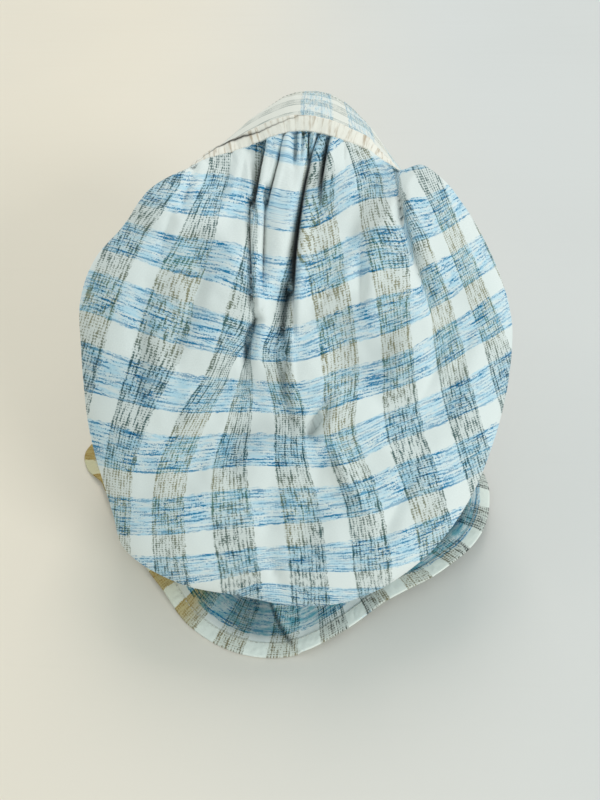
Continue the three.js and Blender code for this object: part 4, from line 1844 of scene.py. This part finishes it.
@dataclass
class Setting:
    """The pale surface, the soft light and the camera."""

    plane: RimPlane
    lamps: tuple[Lamp, ...] = (
        Lamp("window", (0.1, 3.2, 3.6), 1.7, 68.0, (1.0, 0.94, 0.90)),
        Lamp("room", (2.3, -1.9, 1.3), 1.3, 42.0, (0.96, 1.0, 1.0)),
        Lamp("side", (-1.6, 0.3, 1.5), 1.0, 3.0, (1.0, 0.93, 0.84)),
    )
    aim_height: float = 0.08
    fill: Colour = (0.85, 1.0, 1.02)
    fill_strength: float = 0.63
    floor_size: float = 6.0
    frame_height_px: float = 800.0
    focal_px: float = 643.35
    sensor: float = 36.0

    def floor(self) -> Object:
        """The surface: one wide flat face under the bonnet."""
        half = self.floor_size / 2
        mesh = bpy.data.meshes.new("surface")
        corners = [(-half, -half, 0), (half, -half, 0), (half, half, 0), (-half, half, 0)]
        mesh.from_pydata(corners, [], [(0, 1, 2, 3)])
        surface = add_object("surface", mesh)
        surface.data.materials.append(PaintedBoard().build("painted_board"))
        surface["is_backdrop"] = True
        return surface

    def camera(self) -> Object:
        """The camera at the eye of the rim plane, looking straight at its middle."""
        data = bpy.data.cameras.new("camera")
        data.sensor_fit = "AUTO"
        data.sensor_width = self.sensor
        data.lens = self.focal_px / self.frame_height_px * self.sensor
        data.clip_start, data.clip_end = 0.01, 20.0
        camera = add_object("camera", data)
        out = self.plane.axes()[2]
        eye = (self.plane.middle() + out * self.plane.eye + FOOTPRINT_SHIFT) * MM
        camera.location = Vector(eye)
        camera.rotation_mode = "QUATERNION"
        camera.rotation_quaternion = Vector(-out).to_track_quat("-Z", "Y")
        bpy.context.scene.camera = camera
        return camera

    def lights(self) -> None:
        """Pale fill, a high far lamp, a lower one on the camera's right, a faint one on the left."""
        world = bpy.data.worlds.new("daylight")
        world.use_nodes = True
        background = world.node_tree.nodes["Background"]
        background.inputs["Color"].default_value = (*self.fill, 1.0)
        background.inputs["Strength"].default_value = self.fill_strength
        bpy.context.scene.world = world
        for lamp in self.lamps:
            lamp.hang(Vector((0.0, 0.0, self.aim_height)))

    def build(self) -> None:
        """Makes the surface, the camera and the lights."""
        self.floor()
        self.camera()
        self.lights()
        bpy.context.scene.view_settings.view_transform = "Standard"


CROWN_OUTLINE = TurnTable(
    ("turn", "reach"),
    (
        (8, 134.9), (19, 134.7), (29, 135), (40, 137.2), (50, 139.5), (56, 138.6), (61, 128.5),
        (119, 131), (132, 134.7), (144, 131.7), (156, 136.9), (167, 137.1), (180, 133.1),
        (193, 134.2), (212, 143), (222, 152.4), (229, 162.7), (243, 161.8), (257, 156.3),
        (270, 158.4), (283, 159), (303, 150.7), (321, 141), (336, 134.7), (353, 133),
    ),
    FULL_TURN,
)
CROWN_SEAM = TurnTable(
    ("turn", "across", "forward", "height"),
    (
        (9, 93, 108, 112), (28, 89, 119, 146), (46, 79, 127, 172), (61, 63.7, 130.2, 186.8),
        (66, 53, 132, 193), (72, 41.8, 134.5, 199.8), (89, 0, 138, 209.5),
        (106, -40.7, 134.2, 198.6), (118.6, -68.7, 131.2, 189.8), (132, -86, 127, 172),
        (150, -97, 119, 146), (170, -101, 108, 112), (190, -99, 97, 80), (207, -93, 84, 56),
        (220, -84, 64, 45), (235, -66, 28, 42), (251, -38, -12, 43), (268, -4, -33, 44),
        (285, 30, -14, 43), (302, 58, 28, 42), (318, 76, 64, 45), (332, 85, 84, 56),
        (349, 91, 97, 80),
    ),
    FULL_TURN,
)
BAND_STAND = TurnTable(
    ("turn", "across", "forward", "height"),
    (
        (0, 0.2, 1, 0.05), (40, 0, 1, -0.1), (60, -0.1, 1, -0.2), (74, -0.03, 0.85, 0.45),
        (89, 0, 0.64, 0.77), (105, 0.03, 0.85, 0.45), (119, 0.1, 1, -0.2), (140, 0, 1, -0.1),
        (180, -0.2, 1, 0.05), (215, -0.2, 0.7, -0.7), (240, -0.1, 0.2, -1), (268, 0, 0, -1),
        (297, 0.1, 0.2, -1), (325, 0.2, 0.7, -0.7),
    ),
    FULL_TURN,
)
CROWN_OVERHANG = TurnTable(
    ("turn", "share", "puff"),
    (
        (50, 1, 1), (56, 1, 0.7), (60, 0.5, 0.4), (64, 0.1, 0.2), (72, 0, 0), (108, 0, 0),
        (114, 0.05, 0.15), (119, 0.5, 0.35), (124, 1, 0.65), (133, 1, 1), (230, 1, 1),
        (330, 1, 1),
    ),
    FULL_TURN,
)
CURTAIN_EDGE = TurnTable(
    ("turn", "reach", "height"),
    (
        (142, 140, 0), (158, 143, 0), (171, 146, 0), (179, 156, 0), (185, 152, 0), (192, 139, 4),
        (213, 132, 6), (233, 136, 2), (246, 147, 0), (260, 154, 0), (273, 153, 0), (286, 144, 5),
        (300, 138, 9), (318, 147, 11), (332, 155, 12), (345, 153, 12), (360, 143, 6),
        (375, 142, 0), (398, 142, 0),
    ),
)

# Each row: line, depth, left, right, opening, hold, lip, sharp, left_end, lap, soft.
CREASES = (
    Crease(Bend((11.5, 166), (-1, 117.5), (-5.5, 30)), 24, 1.3, 2.0, 0.7, 0.58, 2.0, 2.4, 7.0, 2.6, 1.8),
    Crease(Bend((-8, 66), (-15, 33), (-3, -34)), 9.5, 7.0, 2.4, 0.9, 0.5, 1.2, 2.0, 8.0),
    Crease(Bend((18.7, 168), (15.5, 146), (11.8, 113)), 20, 2.8, 1.5, 0.9, 0.5, 1.0, 2.2, 3.4, 1.6),
    Crease(Bend((-9, 167), (-12.9, 146.4), (-22.4, 112)), 17, 1.5, 1.3, 0.9, 0.6, 1.2, 1.8, 1.6, 1.2),
    Crease(Bend((-21, 162), (-23.5, 137), (-29, 112)), 11, 11.6, 1.2, 0.9, 0.7, 1.6, 6.0, 0.5, 2.2, 5.0),
    Crease(Bend((-21.5, 160), (-24, 137), (-29.5, 110)), 10, 1.7, 1.1, 0.3, 0.7, 0.0, 1.6, 1.2),
    Crease(Bend((-30.5, 123), (-30.8, 88.6), (-27.4, 40)), 9, 2.6, 1.2, 0.9, 0.7, 1.2, 1.3, 4.0, 0.9),
    Crease(Bend((-26.7, 50), (-33.6, 38.9), (-35.4, 10)), 17, 2.8, 3.0, 0.5, 0.4, 1.4, 1.5, 2.0, 0.8),
    Crease(Bend((-21.5, 130), (-23.2, 93), (-23.6, 58)), 9, 0.9, 3.4, 0.9, 0.6, 0.0, 1.3),
    Crease(Bend((59.5, 148), (61, 121), (66, 96)), 9.5, 3.4, 3.2, 0.9, 0.5, 0.8, 1.8),
    Crease(Bend((62, 112), (70, 84), (89, 42)), 6, 4.5, 4.5, 0.5, 0.5, 1.2, 1.5),
    Crease(Bend((88, 52), (90, 9), (60, -18)), 5, 5.0, 8.0, 0.3, 0.5, 0.6, 1.5),
    Crease(Bend((-2.5, 166), (-2, 155), (-4, 142)), 14, 1.9, 1.6, 1.0, 0.6, 0.4, 1.6),
    Crease(Bend((1.9, 166), (1.6, 156), (0.5, 146)), 10, 1.1, 1.1, 1.0, 0.6, 0.3, 1.5),
    Crease(Bend((5.8, 167), (5.4, 156), (4.6, 144)), 17, 1.2, 1.0, 1.0, 0.6, 0.3, 1.5),
    Crease(Bend((-42, 152), (-47, 127), (-56, 106)), 6, 3.2, 2.6, 0.7, 0.5, 0.6, 1.5),
    Crease(Bend((-66, 146), (-69, 128), (-76, 112)), 11, 3.0, 2.4, 0.7, 0.55, 1.0, 1.6),
    Crease(Bend((-77, 124), (-83, 104), (-90, 82)), 4.5, 4.0, 3.0, 0.5, 0.5, 0.4, 1.6),
    Crease(Bend((38, 134), (40, 92), (35, 40)), 5, 6.5, 3.4, 0.2, 0.6, 0.8, 1.6),
    Crease(Bend((15, -3), (9, -16), (1, -27)), 11, 4.0, 5.0, 0.5, 0.55, 1.0, 2.0),
    Crease(Bend((19, -22), (30, -57), (54, -84)), -8, 7.0, 5.0, 0.1, 0.6, 0.0, 1.7),
    Crease(Bend((-18, -96), (-14, -112), (-10, -127)), 8, 4.5, 3.6, 0.2, 0.6, 0.0, 1.5),
    Crease(Bend((-6, -92), (16, -101), (40, -99)), 4, 4.0, 5.0, 0.1, 0.6, 0.6, 1.5),
    Crease(Bend((-58, 88), (-66, 52), (-84, 20)), 4, 6.0, 4.0, 0.1, 0.6, 0.6, 1.5),
    Crease(Bend((-100, 62), (-96, 20), (-104, -20)), 4, 6.0, 6.0, 0.1, 0.6, 0.4, 1.6),
    Crease(Bend((110, 60), (104, 24), (84, -8)), 4, 5.0, 6.0, 0.1, 0.6, 0.6, 1.6),
    Crease(Bend((74, -40), (56, -70), (44, -104)), 4, 6.0, 6.0, 0.1, 0.6, 0.4, 1.6),
    Crease(Bend((27, 164), (28, 150), (27, 128)), 4.0, 2.4, 2.4, 0.9, 0.4, 0.3, 1.5),
    Crease(Bend((-31, 162), (-35, 146), (-40, 122)), 4.0, 2.6, 2.6, 0.9, 0.4, 0.3, 1.5),
    Crease(Bend((38, 159), (42, 140), (46, 118)), 3.6, 3.0, 3.0, 0.9, 0.4, 0.4, 1.5),
)

# Each row: stripe, across, up.
STRIPE_MIDDLES = (
    (-4, -90, 127), (-4, -103, 111), (-4, -113, 90), (-4, -121, 68), (-4, -129, 47),
    (-3, -48, 146), (-3, -61, 115), (-3, -76, 78), (-3, -88, 40), (-3, -101, 0),
    (-3, -112, -37), (-3, -113, -65), (-2.28, -31.7, 149.2), (-2.28, -31.7, 124.3),
    (-2.5, -39.8, 124.3), (-2.5, -42.9, 99.5), (-2.5, -52.2, 74.6), (-2.5, -56, 56),
    (-2.72, -48.5, 124.3), (-2.72, -52.8, 99.5), (-2.72, -62.2, 74.6), (-2.72, -67.8, 56),
    (-0.5, -15.5, 137), (-0.5, -15.5, 115), (-0.5, -18.7, 96), (-0.5, -20.5, 74.6),
    (-0.52, -22.4, 56), (1, 10.6, 137), (1, 10.6, 112), (1, 13, 93), (1, 16, 74),
    (-2.28, -33, 102.6), (-2.28, -34.5, 93), (-2.28, -38.5, 80.8), (-2.28, -41.7, 68.4),
    (-2.28, -46, 56), (-2.28, -48.5, 43.5), (-2.28, -52.8, 31), (-2.28, -57.8, 18.7),
    (-1.72, -37.3, 25), (-1.72, -42.3, 12.4), (-2, -57, 3), (-2, -73, -28), (-2, -83, -62),
    (-2, -81, -100), (-2, -79.5, -112), (-1.28, -38.5, 12.4), (-1, -37, 3), (-1, -44, -37),
    (-1, -42, -75), (-1, -37.3, -112), (-0.72, -20, 155), (-0.72, -21, 137), (-0.72, -26, 115),
    (-0.72, -27, 93), (-0.72, -25.8, 68), (-0.72, -25, 45), (-0.72, -31, 24), (-0.72, -28.6, 12),
    (-0.28, 2, 150), (-0.28, -1.8, 124), (-0.28, -7.5, 99.5), (-0.28, -13, 74.6),
    (-0.28, -15.5, 62), (-0.28, -18.7, 49.7), (-0.28, -21, 37.3), (-0.28, -25.5, 23.6),
    (-0.28, -19.9, 11.2), (0.28, -5.6, 43.5), (0.28, -6.5, 31), (0.28, -6.2, 22),
    (0.28, -2.5, 9.3), (0, -4, -8), (0, -6, -25), (0, 0, -62), (0, 5, -100),
    (0.72, 8, 150), (0.72, 3.5, 137), (0.72, 1.2, 112), (0.72, 2.2, 99.5), (0.72, 5, 80.8),
    (0.72, 7.5, 68), (0.72, 8.7, 56), (0.72, 11.8, 43.5), (0.72, 14.3, 31), (0.72, 15.5, 15.5),
    (1.28, 18, 155), (1.28, 17.4, 130.6), (1.28, 21.8, 112), (1.28, 26, 93), (1.28, 29.2, 74.6),
    (1.28, 31.5, 62), (1.28, 34, 43), (1.28, 36, 24), (1, 22, -19), (1, 37, -56), (1, 44, -100),
    (2, 32, 162), (2, 47, 137), (2, 51, 100), (2, 58, 50), (2, 63, -6), (2, 70, -37),
    (2, 84, -81), (3, 61, 137), (3, 73, 100), (3, 85, 62), (3, 94, 22), (3, 104, -19),
    (3, 109, -34), (4, 78, 143), (4, 94, 103), (4, 109, 68), (4, 122, 34),
)
# Each row: band, across, up.
BAND_MIDDLES = (
    (0.33, 25, 158), (0.33, -40, 157), (0.31, 0, 145), (0.31, -18, 151), (0.31, 12, 146),
    (1, -93, 131), (1, -75, 127), (1, -44, 126), (1, -22, 121), (1, 0, 116), (1, 25, 132),
    (1, 50, 138), (2, -106, 100), (2, -75, 90), (2, -44, 86), (2, -22, 75), (2, 0, 75),
    (2, 25, 86), (2, 50, 95), (2, 62, 93), (2, 81, 114), (2, 93, 121), (3, -126, 68),
    (3, -106, 60), (3, -75, 48), (3, -44, 40), (3, -22, 34), (3, 0, 34), (3, 25, 45),
    (3, 50, 52), (3, 62, 56), (3, 81, 68), (3, 93, 78), (3, 112, 90), (4, -126, 17),
    (4, -106, 12), (4, -75, 4), (4, -44, 3), (4, -22, 3), (4, 0, 0), (4, 25, 9), (4, 50, 14),
    (4, 62, 17), (4, 81, 26), (4, 93, 38), (4, 112, 45), (4, 124, 55), (5, -126, -25),
    (5, -106, -32), (5, -75, -34), (5, -44, -31), (5, -22, -31), (5, 0, -32), (5, 25, -32),
    (5, 50, -19), (5, 62, -14), (5, 81, -7), (5, 93, -1), (5, 112, 6), (5, 124, 16),
    (6, -106, -73), (6, -75, -71), (6, -44, -67), (6, -22, -65), (6, 0, -64), (6, 25, -62),
    (6, 50, -56), (6, 62, -50), (6, 81, -45), (6, 93, -42), (6, 112, -31), (7, -75, -106),
    (7, -44, -104), (7, -22, -100), (7, 0, -100), (7, 25, -98), (7, 50, -96), (7, 62, -93),
    (7, 81, -86), (8, -22, -118), (8, 0, -122), (8, 25, -124),
)
HIDDEN_CLOTH = (
    HiddenCloth(Bend((-20.5, 166), (-33, 95), (-26.5, 38)), 0.3, 0.0, 0.7, 0.15),
    HiddenCloth(Bend((-20.5, 166), (-33, 95), (-30, 16)), 1.0, 0.0, 0.7, 0.84),
    HiddenCloth(Bend((9.3, 166), (-5, 117.5), (-6.8, 34)), 0.95, 0.0, 0.7, 0.45),
    HiddenCloth(Bend((60, 150), (63, 106), (89, 30)), 0.45, 0.3),
)


@dataclass
class Bonnet:
    plane: RimPlane = RimPlane()

    def put(
        self,
        piece: Object,
        material: bpy.types.Material,
        slot: Slot,
        stands_for: Optional[str],
    ) -> Object:
        """Dresses a piece, lets it ride on the body and hides the solid that it stands for."""
        piece.data.materials.append(material)
        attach(piece, "root")
        if stands_for:
            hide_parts(stands_for)
        log.info("%s: %d faces", piece.name, len(piece.data.polygons))
        return piece

    def build(self) -> None:
        """Makes the crown, the band, the brim, the curtain with its hem, and their stitches."""
        plaid = PlaidCotton().build("plaid_cotton")
        brim_cotton = PlaidCotton(strength=0.55, white=linear(238, 234, 224))
        pale_plaid = brim_cotton.build("plaid_cotton_brim")
        # The curtain and the hem have painted warm light on their stripes below warm_lit_below.
        # The curtain's deeper blue wash is partly print and partly painted shade under the crown.
        curtain_cotton = PlaidCotton(warm_lit_below=-2.2, wash=linear(116, 180, 192))
        curtain_plaid = curtain_cotton.build("plaid_cotton_curtain")
        # The hem's stripes are darker and more dimmed than the curtain's, partly print and partly
        # painted shade under the crown.
        hem_cotton = PlaidCotton(
            warm_lit_below=-2.2, base=0.22, grey=linear(14, 32, 30), white=linear(234, 237, 228)
        )
        hem_plaid = hem_cotton.build("plaid_cotton_hem")
        cream = CreamCotton().build("cream_cotton")
        thread = SewingThread().build("sewing_thread")

        seam = Seam(CROWN_SEAM, BAND_STAND)
        chart = PlaidChart(STRIPE_MIDDLES, BAND_MIDDLES, HIDDEN_CLOTH)
        crown = Crown(self.plane, seam, CROWN_OUTLINE, CROWN_OVERHANG, CREASES, chart)
        band = GatheringBand(seam, crown)
        brim = Brim(seam)
        curtain = Curtain(seam, CURTAIN_EDGE)

        crown_cloth = self.put(crown.build(), plaid, Slot.PLAID, "crown")
        band_cloth = self.put(band.build(), cream, Slot.CREAM, "gathering_band")
        brim_cloth = self.put(brim.build(), pale_plaid, Slot.PLAID, "brim")
        curtain_cloth, hem_cloth = curtain.build()
        self.put(curtain_cloth, curtain_plaid, Slot.PLAID, "curtain")
        self.put(hem_cloth, hem_plaid, Slot.HEM, "curtain_hem")

        brim_row = round(brim.rows_down * brim.stitch_share)
        brim_line = brim.grid().top_line(brim_row, brim.cloth)
        self.put(StitchRow().build("brim_stitches", *brim_line), thread, Slot.PLAID, None)
        hem_line = curtain.grids()[1].top_line(curtain.hem_row, curtain.hem_cloth)
        self.put(StitchRow().build("hem_stitches", *hem_line), thread, Slot.HEM, None)


def write_sizes() -> None:
    """Writes the CAD box and the dressed box, in metres."""
    boxes = {"cad": CAD_BOX, "visual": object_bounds()}
    sizes = {name: [list(corner) for corner in box] for name, box in boxes.items()}
    log.info("boxes: %s", sizes)


def main() -> None:
    """Builds the bonnet and its setting."""
    logging.basicConfig(level=logging.INFO, format="%(name)s: %(message)s")
    bonnet = Bonnet()
    bonnet.build()
    Setting(bonnet.plane).build()
    write_sizes()


if __name__ == "__main__":
    main()
